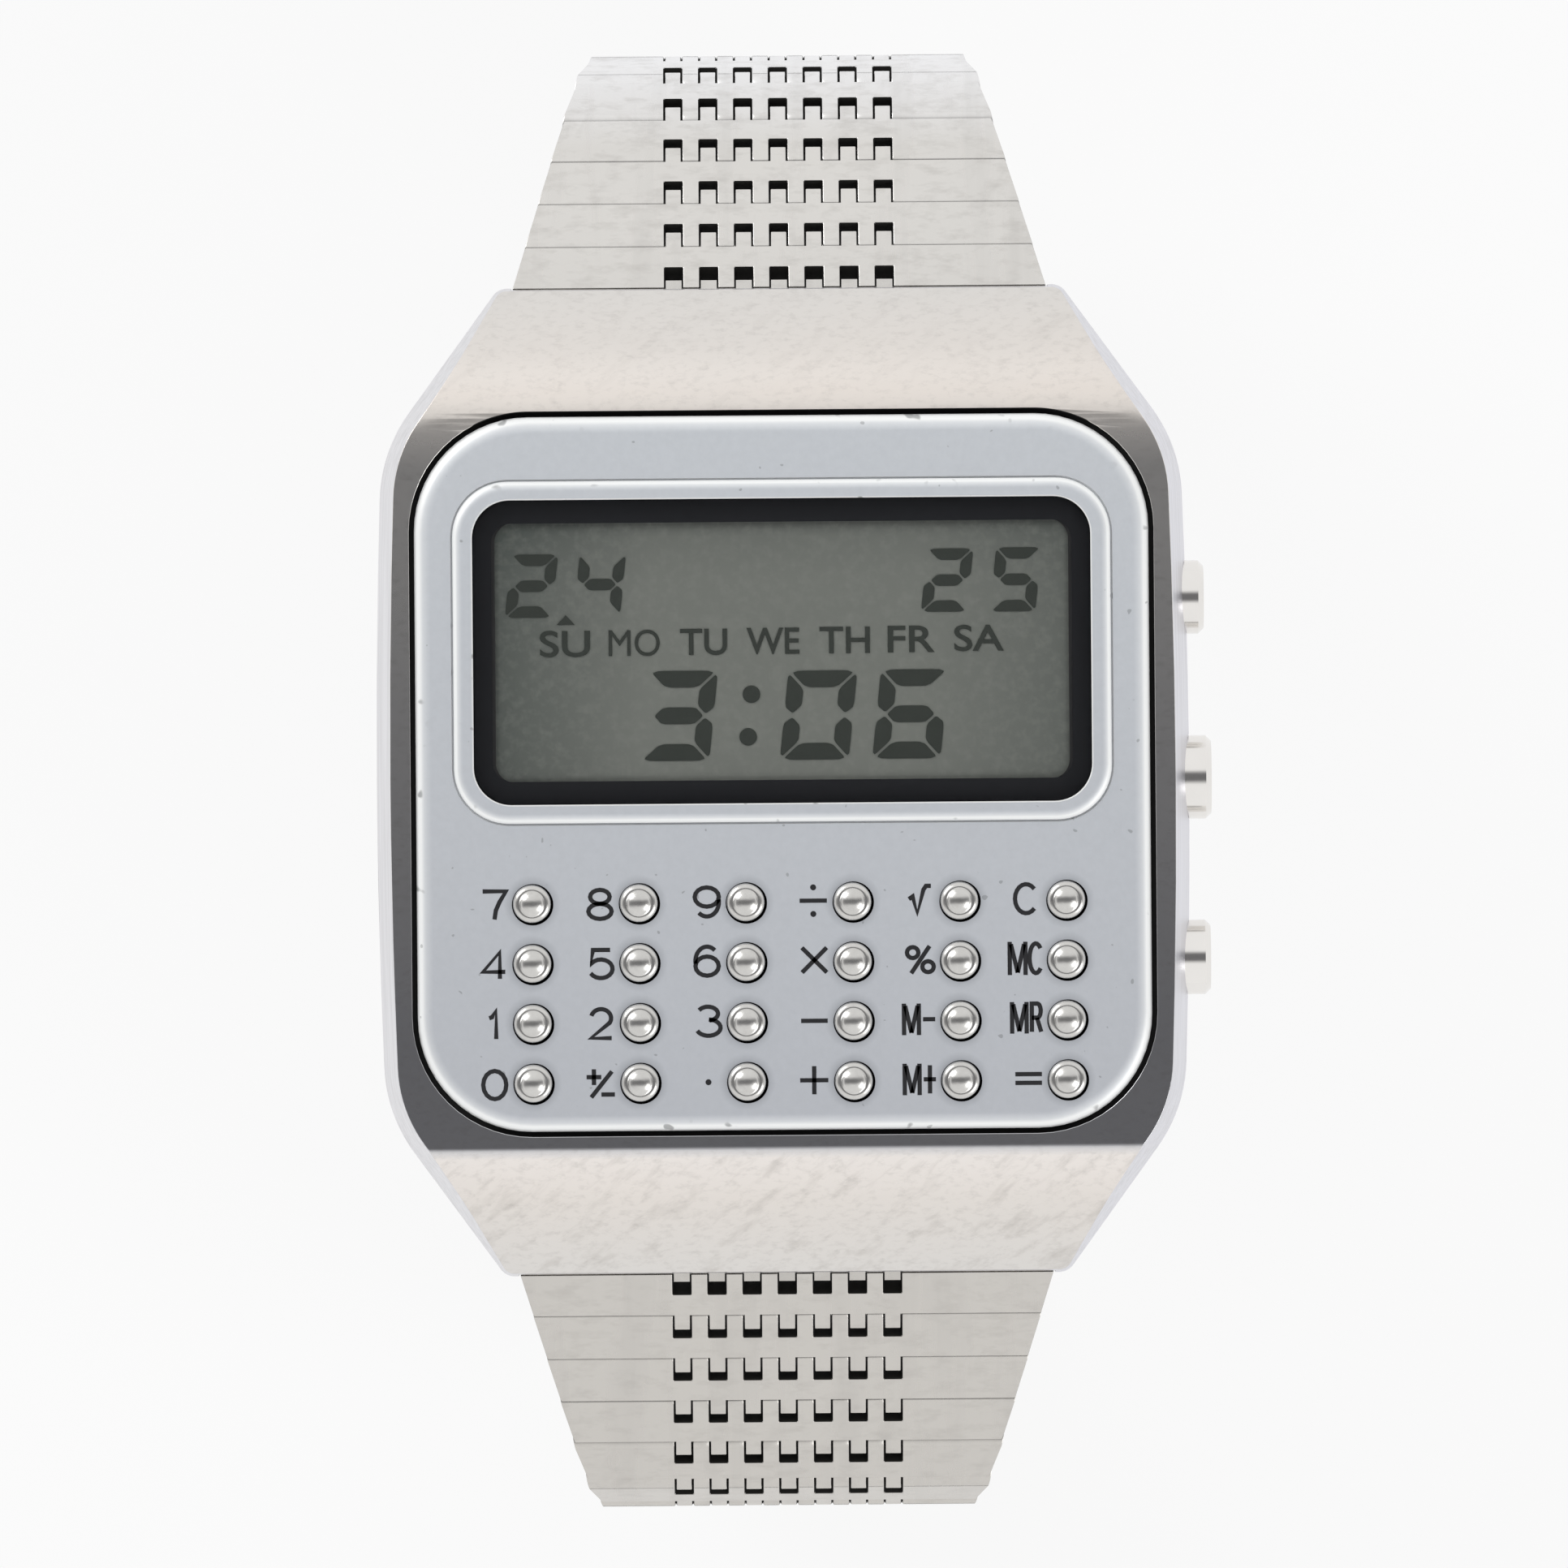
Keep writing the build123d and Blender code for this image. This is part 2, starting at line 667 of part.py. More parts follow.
def side_knuckles(diameter, y, z):
    """The two outer knuckles of a fold, one at each side of a blade."""
    width = knuckle_width - side_gap
    return [rod(diameter, width, y, z, i * (blade_width - width) / 2) for i in (1, -1)]


def make_first_blade():
    """The blade between the two folds, with knuckles at both ends."""
    low = clasp_wall + blade_lift
    sheet = [(turn_y, low), (turn_y, low + blade_thickness), (fold_y, low + blade_thickness),
             (fold_y, low)]
    room = knuckle_width + 2 * side_gap
    fold_room = rod(fold_knuckle_diameter + 2 * side_gap, room, fold_y, fold_pin_height)
    fold_foot = Pos(0, fold_y, fold_pin_height / 2) * Box(
        room, fold_knuckle_diameter + 2 * side_gap, fold_pin_height)
    blade = prism(sheet, blade_width) + side_knuckles(fold_knuckle_diameter, fold_y, fold_pin_height)
    blade = blade + rod(turn_knuckle_diameter, knuckle_width, turn_y, turn_pin_height)
    corner = knuckle_width + side_gap
    corners = [rod(turn_knuckle_diameter + 2 * side_gap, corner, turn_y, turn_pin_height,
                   i * (room + corner) / 2)
               for i in (1, -1)]
    bore = clasp_pin_diameter + 2 * running_gap
    bores = [rod(bore, blade_width + overrun, fold_y, fold_pin_height),
             rod(bore, knuckle_width + overrun, turn_y, turn_pin_height)]
    return blade - [fold_room, fold_foot] - corners - bores


def make_second_blade():
    """The inner blade, from the second fold to the upper bracelet's end."""
    low = inner_blade_lift
    high = low + blade_thickness
    bend_y = fold_y + inner_blade_reach
    sheet = [(turn_y, low), (turn_y, high), (bend_y, high), (bend_y, low)]
    tongue = [(bend_y, high), (last_pin_y, clasp_pin_height + blade_thickness),
              (last_pin_y, clasp_pin_height), (bend_y, low)]
    blade = prism(sheet, blade_width) + prism(tongue, end_knuckle_width)
    blade = blade + side_knuckles(turn_knuckle_diameter, turn_y, turn_pin_height)
    room = rod(turn_knuckle_diameter + 2 * side_gap, knuckle_width + 2 * side_gap,
               turn_y, turn_pin_height)
    blade = blade + rod(end_knuckle_diameter, end_knuckle_width, last_pin_y, clasp_pin_height)
    bores = [rod(clasp_pin_diameter, blade_width + overrun, turn_y, turn_pin_height),
             rod(clasp_pin_diameter, end_knuckle_width + overrun, last_pin_y, clasp_pin_height)]
    return blade - [room] - bores


def make_cover_pins():
    """The lower bracelet's spring bar and the first fold's pin, both carried by the cover."""
    bar = rod(clasp_pin_diameter, link_width(len(link_tilts)), -last_pin_y, clasp_pin_height)
    pin = rod(clasp_pin_diameter, blade_width, fold_y, fold_pin_height)
    return Compound(children=[bar.solid(), pin.solid()])


def make_blade_pins():
    """The second fold's pin and the upper bracelet's spring bar, carried by the inner blade."""
    pin = rod(clasp_pin_diameter, blade_width, turn_y, turn_pin_height)
    bar = rod(clasp_pin_diameter, end_knuckle_width, last_pin_y, clasp_pin_height)
    return Compound(children=[pin.solid(), bar.solid()])


def key_names():
    return (
        "key_7", "key_8", "key_9", "key_divide", "key_root", "key_clear",
        "key_4", "key_5", "key_6", "key_multiply", "key_percent", "key_memory_clear",
        "key_1", "key_2", "key_3", "key_minus", "key_memory_minus", "key_memory_recall",
        "key_0", "key_sign", "key_point", "key_plus", "key_memory_plus", "key_equals",
    )


def make_nodes():
    """Every sub-part under its node name."""
    nodes = {
        "case_body": make_case_body(),
        "case_back": make_case_back(),
        "back_gasket": make_back_gasket(),
        "face_plate": make_face_plate(),
        "display_glass": make_display_glass(),
        "display_mask": make_display_mask(),
        "lcd_panel": make_lcd_panel(),
        "keypad_membrane": make_keypad_membrane(),
        "circuit_board": make_circuit_board(),
        "board_components": make_board_components(),
        "button_cells": make_button_cells(),
        "battery_strap": make_battery_strap(),
        "module_frame": make_module_frame(),
        "contact_springs": make_contact_springs(),
        "pusher_seals": make_pusher_seals(),
        "lug_pins": make_lug_pins(),
        "end_links": Compound(children=[make_end_link(side).solid() for side in (1, -1)]),
        "clasp_cover": make_clasp_cover(),
        "clasp_blade_first": make_first_blade(),
        "clasp_blade_second": make_second_blade(),
    }
    key = make_key()
    for name, (x, y) in zip(key_names(), key_places()):
        nodes[name] = Pos(x, y, 0) * key
    for name, y, diameter, reach in pusher_places():
        nodes[name] = make_pusher(y, diameter, reach)
    for side, word in ((1, "upper"), (-1, "lower")):
        for number, group in enumerate(make_link_groups(side), start=1):
            nodes[f"{word}_links_{number}"] = group
    nodes["cover_pins"] = make_cover_pins()
    nodes["blade_pins"] = make_blade_pins()
    return nodes


os.makedirs("parts", exist_ok=True)
for node_name, shape in make_nodes().items():
    export_step(shape, f"parts/{node_name}.step")
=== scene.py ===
import json
from math import atan2, cos, hypot, pi, radians, sin, tan

import bmesh
import bpy
from mathutils import Matrix, Vector

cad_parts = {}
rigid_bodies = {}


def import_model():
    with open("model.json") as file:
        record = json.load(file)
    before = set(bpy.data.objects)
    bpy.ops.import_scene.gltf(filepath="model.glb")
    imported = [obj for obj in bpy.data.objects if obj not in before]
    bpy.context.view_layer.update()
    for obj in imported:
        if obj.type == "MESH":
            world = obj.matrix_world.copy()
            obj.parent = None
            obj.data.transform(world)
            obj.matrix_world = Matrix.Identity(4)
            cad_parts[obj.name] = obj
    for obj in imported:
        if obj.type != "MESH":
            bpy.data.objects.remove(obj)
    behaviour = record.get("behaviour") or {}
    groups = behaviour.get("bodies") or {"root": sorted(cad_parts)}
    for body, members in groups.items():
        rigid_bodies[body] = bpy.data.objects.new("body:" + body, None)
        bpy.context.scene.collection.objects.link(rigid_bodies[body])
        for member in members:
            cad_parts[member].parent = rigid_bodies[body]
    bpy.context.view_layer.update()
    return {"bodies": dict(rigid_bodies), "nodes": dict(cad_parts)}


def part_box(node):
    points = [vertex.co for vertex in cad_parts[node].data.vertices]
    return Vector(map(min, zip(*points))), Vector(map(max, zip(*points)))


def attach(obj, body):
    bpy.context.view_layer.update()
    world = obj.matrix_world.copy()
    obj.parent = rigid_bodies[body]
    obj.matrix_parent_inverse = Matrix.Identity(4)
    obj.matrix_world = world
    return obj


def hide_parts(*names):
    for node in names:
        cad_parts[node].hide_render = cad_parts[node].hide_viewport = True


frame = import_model()
nodes = frame["nodes"]
mm = 0.001

# Camera, daylight and table
# The photograph looks straight down on the face through a long lens, turned by half a degree.
# White studio walls stand all round, with a dark gap overhead that the flat polished steel shows.
# The watch lies on a white table.
face_low, face_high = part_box("face_plate")
case_low, case_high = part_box("case_body")
ring_z = case_high[2]
picture_px = 1932
px_per_mm = 27.2
picture_turn = radians(0.47)
lens_distance = 0.9
lens_middle = (0.04 * mm, -0.17 * mm)
sensor_mm = 36.0
view_width = picture_px / px_per_mm * mm


def put(name, data):
    """A new object in the scene."""
    thing = bpy.data.objects.new(name, data)
    bpy.context.scene.collection.objects.link(thing)
    return thing


camera_data = bpy.data.cameras.new("camera")
camera_data.sensor_width = sensor_mm
camera_data.lens = sensor_mm * lens_distance / view_width
camera_data.clip_end = 10
camera = put("camera", camera_data)
camera.location = (*lens_middle, ring_z + lens_distance)
camera.rotation_euler = (0, 0, -picture_turn)
bpy.context.scene.camera = camera
bpy.context.scene.view_settings.view_transform = "Standard"


class Value:
    """A shader socket that can stand in a Python sum."""

    def __init__(self, tree, socket):
        self.tree = tree
        self.socket = socket

    def __add__(self, other):
        return maths("ADD", self, other)

    def __sub__(self, other):
        return maths("SUBTRACT", self, other)

    def __rsub__(self, other):
        return maths("SUBTRACT", other, self)

    def __mul__(self, other):
        return maths("MULTIPLY", self, other)

    def __gt__(self, other):
        return maths("GREATER_THAN", self, other)

    def __lt__(self, other):
        return maths("LESS_THAN", self, other)

    def __abs__(self):
        return maths("ABSOLUTE", self)

    __radd__ = __add__
    __rmul__ = __mul__


def feed(tree, value, socket):
    """Links a value to a node's socket, or sets a plain number or colour there."""
    if isinstance(value, Value):
        tree.links.new(value.socket, socket)
    else:
        socket.default_value = value


def maths(operation, *values):
    """One Math node, in the tree of those values that aren't plain numbers."""
    tree = next(value.tree for value in values if isinstance(value, Value))
    node = tree.nodes.new("ShaderNodeMath")
    node.operation = operation
    for place, value in enumerate(values):
        feed(tree, value, node.inputs[place])
    return Value(tree, node.outputs[0])


class Graph:
    """A node tree whose nodes are all made through one method."""

    def __init__(self, tree):
        self.tree = tree

    def node(self, kind, settings=None, sockets=None, output=0):
        """Any node, with its settings first and then its sockets."""
        node = self.tree.nodes.new(kind)
        for name, value in (settings or {}).items():
            setattr(node, name, value)
        for name, value in (sockets or {}).items():
            feed(self.tree, value, node.inputs[name])
        return Value(self.tree, node.outputs[output])

    def mix(self, share, first, second):
        """A colour between two colours."""
        node = self.tree.nodes.new("ShaderNodeMix")
        node.data_type = "RGBA"
        for place, value in ((0, share), (6, first), (7, second)):
            feed(self.tree, value, node.inputs[place])
        return Value(self.tree, node.outputs[2])

    def axes(self, vector):
        """The three parts of a vector."""
        node = self.tree.nodes.new("ShaderNodeSeparateXYZ")
        feed(self.tree, vector, node.inputs[0])
        return [Value(self.tree, out) for out in node.outputs]

    def spot(self):
        """X, Y and Z of the point that is shaded, in its object's frame."""
        return self.axes(self.node("ShaderNodeTexCoord", output="Object"))

    def upward(self):
        """How far a face looks up, from 1 to -1."""
        return self.axes(self.node("ShaderNodeNewGeometry", output="Normal"))[2]

    def bump(self, height, strength, distance=0.02 * mm):
        """A relief of the surface that is only shaded."""
        return self.node("ShaderNodeBump", sockets={
            "Height": height, "Strength": strength, "Distance": distance})

    def place(self, scale=(1, 1, 1), turn=(0, 0, 0)):
        """Object coordinates, turned and then stretched to the grain of a finish."""
        place = self.node("ShaderNodeTexCoord", output="Object")
        turned_place = self.node("ShaderNodeMapping", sockets={"Vector": place, "Rotation": turn})
        return self.node("ShaderNodeMapping", sockets={"Vector": turned_place, "Scale": scale})

    def noise(self, scale, detail=3.0, rough=0.55, vector=None):
        """Cloudy noise with so many spots to the metre."""
        return self.node("ShaderNodeTexNoise", sockets={
            "Vector": vector or self.place(), "Scale": scale, "Detail": detail,
            "Roughness": rough})

    def between(self, value, low, high, out_low=0.0, out_high=1.0):
        """A value moved from one range to another, and held there."""
        return self.node("ShaderNodeMapRange", sockets={
            "Value": value, "From Min": low, "From Max": high,
            "To Min": out_low, "To Max": out_high})

    def end(self, kind, socket, value):
        """The tree's output node."""
        node = self.tree.nodes.new(kind)
        self.tree.links.new(value.socket, node.inputs[socket])


class Finish(Graph):
    """The nodes of a material or of the world."""

    def __init__(self, owner):
        owner.use_nodes = True
        super().__init__(owner.node_tree)
        self.owner = owner
        self.tree.nodes.clear()


def material(name):
    """The empty tree of a new material."""
    return Finish(bpy.data.materials.new(name))


def colour(red, green, blue):
    """A colour given as it shows on a screen, 0 to 255."""
    shares = [part / 255 for part in (red, green, blue)]
    return tuple(s / 12.92 if s <= 0.04045 else ((s + 0.055) / 1.055) ** 2.4 for s in shares) + (1.0,)


def surface(finish, **sockets):
    """Closes a material with a principled surface."""
    named = {name.replace("_", " "): value for name, value in sockets.items()}
    shader = finish.node("ShaderNodeBsdfPrincipled", sockets=named)
    finish.end("ShaderNodeOutputMaterial", "Surface", shader)
    return finish.owner


world = Finish(bpy.data.worlds.new("studio"))
bpy.context.scene.world = world.owner
sky_x, sky_y, sky_z = world.axes(world.node("ShaderNodeTexCoord", output="Generated"))
# Where the gap fades out to each side, on a sky of radius 1
gap_fade_x = (0.70, 0.95)
gap_fade_y = (0.16, 0.34)
in_gap_overhead = (world.between(abs(sky_y), *gap_fade_y, 1, 0) * world.between(abs(sky_x), *gap_fade_x, 1, 0)
                   * (sky_z > 0) * (1 - world.node("ShaderNodeLightPath", output="Is Camera Ray")))
sky = world.mix(in_gap_overhead, (0.97, 0.97, 0.97, 1), (0.16, 0.16, 0.165, 1))
light = world.node("ShaderNodeBackground", sockets={"Color": sky, "Strength": 1.0})
world.end("ShaderNodeOutputWorld", "Surface", light)


def lamp(name, place, size, power, aim=(0, 0, 0.02)):
    """A soft square studio lamp turned to a point."""
    data = bpy.data.lights.new(name, "AREA")
    data.size = size
    data.energy = power
    spot = put(name, data)
    spot.location = place
    spot.rotation_euler = (Vector(aim) - Vector(place)).to_track_quat("-Z", "Y").to_euler()


lamp("window_left", (-0.5, 0.45, 0.5), 0.35, 1.6)
lamp("window_right", (0.5, -0.3, 0.55), 0.35, 1.0)

table_half = 3.0
table_z = -0.03 * mm
table_white_share = 0.85
table_corners = [(x * table_half, y * table_half, table_z) for x, y in ((-1, -1), (1, -1), (1, 1), (-1, 1))]
table_mesh = bpy.data.meshes.new("table")
table_mesh.from_pydata(table_corners, [], [(0, 1, 2, 3)])
table = put("table", table_mesh)
# The table is white to the eye, keeps the watch's shadow and can be seen through from below
paper = material("paper")
rays = [paper.node("ShaderNodeLightPath", output=kind)
        for kind in ("Is Camera Ray", "Is Glossy Ray", "Is Transmission Ray")]
seen = rays[0] + rays[1] + rays[2]
matt = paper.node("ShaderNodeBsdfDiffuse", sockets={"Color": (0.8, 0.8, 0.8, 1)})
white = paper.node("ShaderNodeEmission", sockets={"Color": (1, 1, 1, 1), "Strength": 1.0})
both = paper.node("ShaderNodeMixShader", sockets={0: seen * table_white_share, 1: matt, 2: white})
below = paper.node("ShaderNodeNewGeometry", output="Backfacing")
open_below = paper.node("ShaderNodeMixShader", sockets={
    0: below, 1: both, 2: paper.node("ShaderNodeBsdfTransparent")})
paper.end("ShaderNodeOutputMaterial", "Surface", open_below)
table_mesh.materials.append(paper.owner)


def dress(finish, *names):
    """Gives the carried-over nodes a finish."""
    for name in names:
        nodes[name].data.materials.clear()
        nodes[name].data.materials.append(finish)


def piece(name, mesh, finish, body):
    """A new object at the origin, with one finish, on one body."""
    thing = put(name, mesh)
    mesh.materials.clear()
    mesh.materials.append(finish)
    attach(thing, body)
    return thing


# Case
# One machined block of stainless steel. The ring round the face plate is polished flat, the
# hoods over the bracelet are brushed, the flanks lean in, and every edge is slightly broken.
ring_inset = 0.7 * mm
lean_depth = 5.1 * mm
lug_length = 7.4 * mm
lug_tip_half = 12.8 * mm
lug_tip_radius = 0.8 * mm
shoulder_radius = 7 * mm
side_bow = 0.3 * mm
side_bow_corner = 0.5 * mm
side_bow_radius = 360 * mm
hood_length = 5.75 * mm
hood_break = 3.4 * mm
hood_break_radius = 5 * mm
hood_drops = (0.9 * mm, 4.2 * mm)
hood_blends = (5.2 * mm, 1.4 * mm)
case_edge = 0.09 * mm
# Cutting tools pass the steel by this much, and points closer than this are one
overrun = 1 * mm
same_point = 0.0005 * mm
case_half_x = case_high[0]
case_half_y = case_high[1]
shoulder_y = case_half_y - lug_length
hood_y = case_half_y - hood_length


def rounded(corners, steps=10):
    """An outline through (x, y, radius) corners, each one an arc of short straight runs."""
    outline = []
    for i, (x, y, radius) in enumerate(corners):
        here = Vector((x, y))
        back = (Vector(corners[i - 1][:2]) - here).normalized()
        ahead = (Vector(corners[(i + 1) % len(corners)][:2]) - here).normalized()
        half_turn = (pi - back.angle(ahead)) / 2
        middle = (back + ahead).normalized()
        centre = here + middle * radius / cos(half_turn)
        start = here + back * radius * tan(half_turn) - centre
        turn = back.angle_signed(ahead)
        sweep = -2 * half_turn if turn < 0 else 2 * half_turn
        for step in range(steps + 1):
            outline.append(tuple(centre + Matrix.Rotation(sweep * step / steps, 2) @ start))
    return outline


def rounded_box(width, length, radius, middle_y=0.0, steps=14):
    """A rounded rectangle on the face."""
    x, low, high = width / 2, middle_y - length / 2, middle_y + length / 2
    return rounded([(x, high, radius), (-x, high, radius), (-x, low, radius), (x, low, radius)], steps)


def circle(centre, radius, steps):
    """A round outline of short straight runs."""
    return [(centre[0] + radius * cos(2 * pi * i / steps), centre[1] + radius * sin(2 * pi * i / steps))
            for i in range(steps)]


def moved_in(outline, distance):
    """The same outline, drawn in by a distance."""
    moved = []
    count = len(outline)
    points = [Vector(point) for point in outline]
    for i, here in enumerate(points):
        before = next(here - points[i - k] for k in range(1, count)
                      if (here - points[i - k]).length > same_point)
        after = next(points[(i + k) % count] - here for k in range(1, count)
                     if (points[(i + k) % count] - here).length > same_point)
        along = before.normalized() + after.normalized()
        moved.append(tuple(here + Vector((-along.y, along.x)).normalized() * distance))
    return moved


def finished_mesh(name, mesh):
    """A mesh whose faces all point outwards."""
    bmesh.ops.recalc_face_normals(mesh, faces=mesh.faces)
    data = bpy.data.meshes.new(name)
    mesh.to_mesh(data)
    mesh.free()
    return data


def stacked(name, loops, closed=False):
    """A solid between (outline, height) loops of as many points, capped or joined round."""
    mesh = bmesh.new()
    rows = [[mesh.verts.new((x, y, z)) for x, y in outline] for outline, z in loops]
    count = len(rows[0])
    last = len(rows) if closed else len(rows) - 1
    for r in range(last):
        low, high = rows[r], rows[(r + 1) % len(rows)]
        for i in range(count):
            j = (i + 1) % count
            mesh.faces.new((low[i], low[j], high[j], high[i]))
    if not closed:
        mesh.faces.new(list(reversed(rows[0])))
        mesh.faces.new(rows[-1])
    bmesh.ops.remove_doubles(mesh, verts=mesh.verts, dist=same_point)
    return put(name, finished_mesh(name, mesh))


def settled(thing):
    """A plain mesh of an object as its modifiers make it."""
    return bpy.data.meshes.new_from_object(thing.evaluated_get(bpy.context.evaluated_depsgraph_get()))


def carved(block, tool, operation="DIFFERENCE"):
    """Cuts a tool from a block, or keeps what they share."""
    cutter = block.modifiers.new("cut", "BOOLEAN")
    cutter.operation = operation
    cutter.solver = "EXACT"
    cutter.object = tool
    data = settled(block)
    block.modifiers.clear()
    block.data = data
    bpy.data.objects.remove(tool)


def tidied(block, near, flat=radians(1)):
    """Joins the specks and slivers that cutting leaves."""
    tidy = bmesh.new()
    tidy.from_mesh(block.data)
    bmesh.ops.remove_doubles(tidy, verts=tidy.verts, dist=near)
    bmesh.ops.dissolve_limit(tidy, angle_limit=flat, verts=tidy.verts, edges=tidy.edges)
    tidy.to_mesh(block.data)
    tidy.free()


def softened(block, width, steps=2, sharp=radians(28)):
    """Breaks the sharp edges of a block and shades it smooth between them."""
    edges = block.modifiers.new("edges", "BEVEL")
    edges.width = width
    edges.segments = steps
    edges.limit_method = "ANGLE"
    edges.angle_limit = sharp
    block.modifiers.new("shade", "WEIGHTED_NORMAL").keep_sharp = True
    block.data.shade_smooth()
    data = settled(block)
    block.modifiers.clear()
    bpy.data.objects.remove(block)
    return data


def upended(outline, width, middle_x=0.0):
    """A (y, z) outline drawn along X as a solid."""
    block = stacked("side", [(outline, -width / 2), (outline, width / 2)])
    block.data.transform(Matrix(((0, 0, 1, middle_x), (1, 0, 0, 0), (0, 1, 0, 0), (0, 0, 0, 1))))
    return block


def round_bar(diameter, length, middle, steps=48):
    """A bar along X."""
    return upended(circle(middle[1:], diameter / 2, steps), length, middle[0])


def case_corners():
    """Corners of the case seen from above, with the radius of each."""
    half = case_half_x - side_bow
    quarter = [(half + side_bow_corner, 0, side_bow_radius), (half, shoulder_y, shoulder_radius),
               (lug_tip_half, case_half_y, lug_tip_radius)]
    top = quarter + [(-x, y, radius) for x, y, radius in reversed(quarter)]
    return top + [(x, -y, radius) for x, y, radius in reversed(top[1:-1])]


def hood_corners():
    """Corners of the case seen from the side as (y, z), with the radius of each."""
    past_tip = case_half_y + overrun
    tip_slope = (hood_drops[1] - hood_drops[0]) / hood_break
    tool_radius = 0.01 * mm
    right = [(past_tip, case_low[2] - overrun, tool_radius),
             (past_tip, ring_z - hood_drops[1] - tip_slope * overrun, tool_radius),
             (case_half_y - hood_break, ring_z - hood_drops[0], hood_break_radius),
             (hood_y, ring_z, hood_blends[0])]
    left = right[:-1] + [(hood_y, ring_z, hood_blends[1])]
    return right + [(-y, z, radius) for y, z, radius in reversed(left)]


def make_case_steel():
    """Brushed hoods that turn, without a line, into a polished ring with painted shade that makes it darkest
    at 6 o'clock, with painted light and shade on hoods and flanks and painted shade in the recess.
    """
    steel = material("case_steel")
    x, y, z = steel.spot()
    facing = steel.between(steel.upward(), 0.35, 0.5)
    # The upper hood's brushing fades in slowly, the lower one's within half a millimetre
    upper_hood = steel.between(y, hood_y - 2.6 * mm, hood_y + 0.9 * mm)
    lower_hood = steel.between(0 - y, hood_y - 0.1 * mm, hood_y + 0.35 * mm)
    hood = (upper_hood + lower_hood) * facing
    tip = steel.between(abs(y), hood_y + 0.5 * mm, case_half_y)
    flat = facing * (1 - hood)
    grain = steel.noise(3400, 4, 0.65, steel.place((0.6, 1.0, 1.0)))
    worn = steel.noise(1500, 4, 0.6, steel.place((1.0, 0.22, 0.6), (0, 0, radians(50))))
    cloud = steel.noise(75)
    # Hoods: warm, with painted shade that greys them to their tips and dulls the root of the upper one, and a
    # painted highlight at the lower one's root
    warm = steel.mix(cloud, (0.83, 0.76, 0.70, 1), (0.77, 0.735, 0.70, 1))
    # Painted shade: the steeper end of each hood is painted greyer
    pale = steel.mix(tip, warm, (0.73, 0.71, 0.685, 1))
    # Painted shade at the root of the upper hood
    root_shade = steel.between(y, hood_y - 0.2 * mm, hood_y + 1.5 * mm, 1, 0) * (y > 0)
    pale = steel.mix(root_shade * 0.25, pale, (0.62, 0.56, 0.50, 1))
    # Painted highlight at the root of the lower hood
    root_highlight = steel.between(0 - y, hood_y + 0.2 * mm, hood_y + 2.2 * mm, 1, 0) * (y < 0)
    pale = steel.mix(root_highlight * 0.8, pale, (0.86, 0.82, 0.79, 1))
    # Ring and flanks: painted shade makes the ring darkest at 6 o'clock, the left flank is painted lighter
    # than the right, and the flanks have a grain that runs along the case
    fall = steel.between(y, -12 * mm, 12 * mm)
    ring = steel.mix(fall, (0.62, 0.62, 0.64, 1), (0.86, 0.84, 0.81, 1))
    side_grain = steel.noise(3600, 4, 0.6, steel.place((1.0, 0.025, 1.0)))
    # Painted light: the left flank is painted lighter than the right
    flank = steel.mix(steel.between(x, -12 * mm, 12 * mm), (0.78, 0.775, 0.80, 1), (0.74, 0.74, 0.79, 1))
    flank = steel.mix(steel.between(side_grain, 0.42, 0.72) * 0.40, flank, (0.40, 0.39, 0.40, 1))
    tint = steel.mix(facing, flank, ring)
    tint = steel.mix(hood, tint, pale)
    scuffs = steel.between(worn, 0.52, 0.74) * hood * (0.16 + 0.28 * lower_hood)
    tint = steel.mix(scuffs, tint, (0.47, 0.44, 0.41, 1))
    lines = steel.between(grain, 0.50, 0.75) * (hood * 0.28 + flat * 0.24)
    tint = steel.mix(lines, tint, (0.42, 0.40, 0.38, 1))
    # Painted shade: the wall of the recess, and all inside its rounded rectangle, is painted near black and
    # not metallic, for the shade in the gap round the plate
    past_x = maths("MAXIMUM", abs(x) - recess_half_x + recess_radius, 0.0)
    past_y = maths("MAXIMUM", abs(y - plate_y) - recess_half_y + recess_radius, 0.0)
    gap_shade = ((past_x * past_x + past_y * past_y < recess_radius ** 2)
              * (z < ring_z - 0.02 * mm) * (z > ring_z - 1.5 * mm))
    tint = steel.mix(gap_shade, tint, (0.010, 0.010, 0.010, 1))
    shine = (0.12 + hood * 0.26 + (grain - 0.5) * hood * 0.18 + cloud * 0.04 + flat * fall * 0.06
             + (1 - facing) * 0.22)
    relief = (grain + worn) * hood + side_grain * (1 - facing)
    return surface(steel, Base_Color=tint, Metallic=1 - gap_shade,
                   Roughness=shine + gap_shade * 0.5, Normal=steel.bump(relief, 0.16))


def make_brushed(name, tint, dark, stretch, rough):
    """Brushed steel whose grain runs along the axis with the small stretch."""
    steel = material(name)
    grain = steel.noise(900, 5, 0.65, steel.place(stretch))
    cloud = steel.noise(160)
    shade = steel.mix(steel.between(grain, 0.45, 0.75) * 0.35 + 0.15 * cloud, tint, dark)
    return surface(steel, Base_Color=shade, Metallic=1.0,
                   Roughness=rough + (grain - 0.5) * 0.15, Normal=steel.bump(grain, 0.12))


plate_gap = 0.22 * mm
plate_y = (face_low[1] + face_high[1]) / 2
plate_width = face_high[0] - face_low[0]
plate_length = face_high[1] - face_low[1]
plate_radius = 5.2 * mm
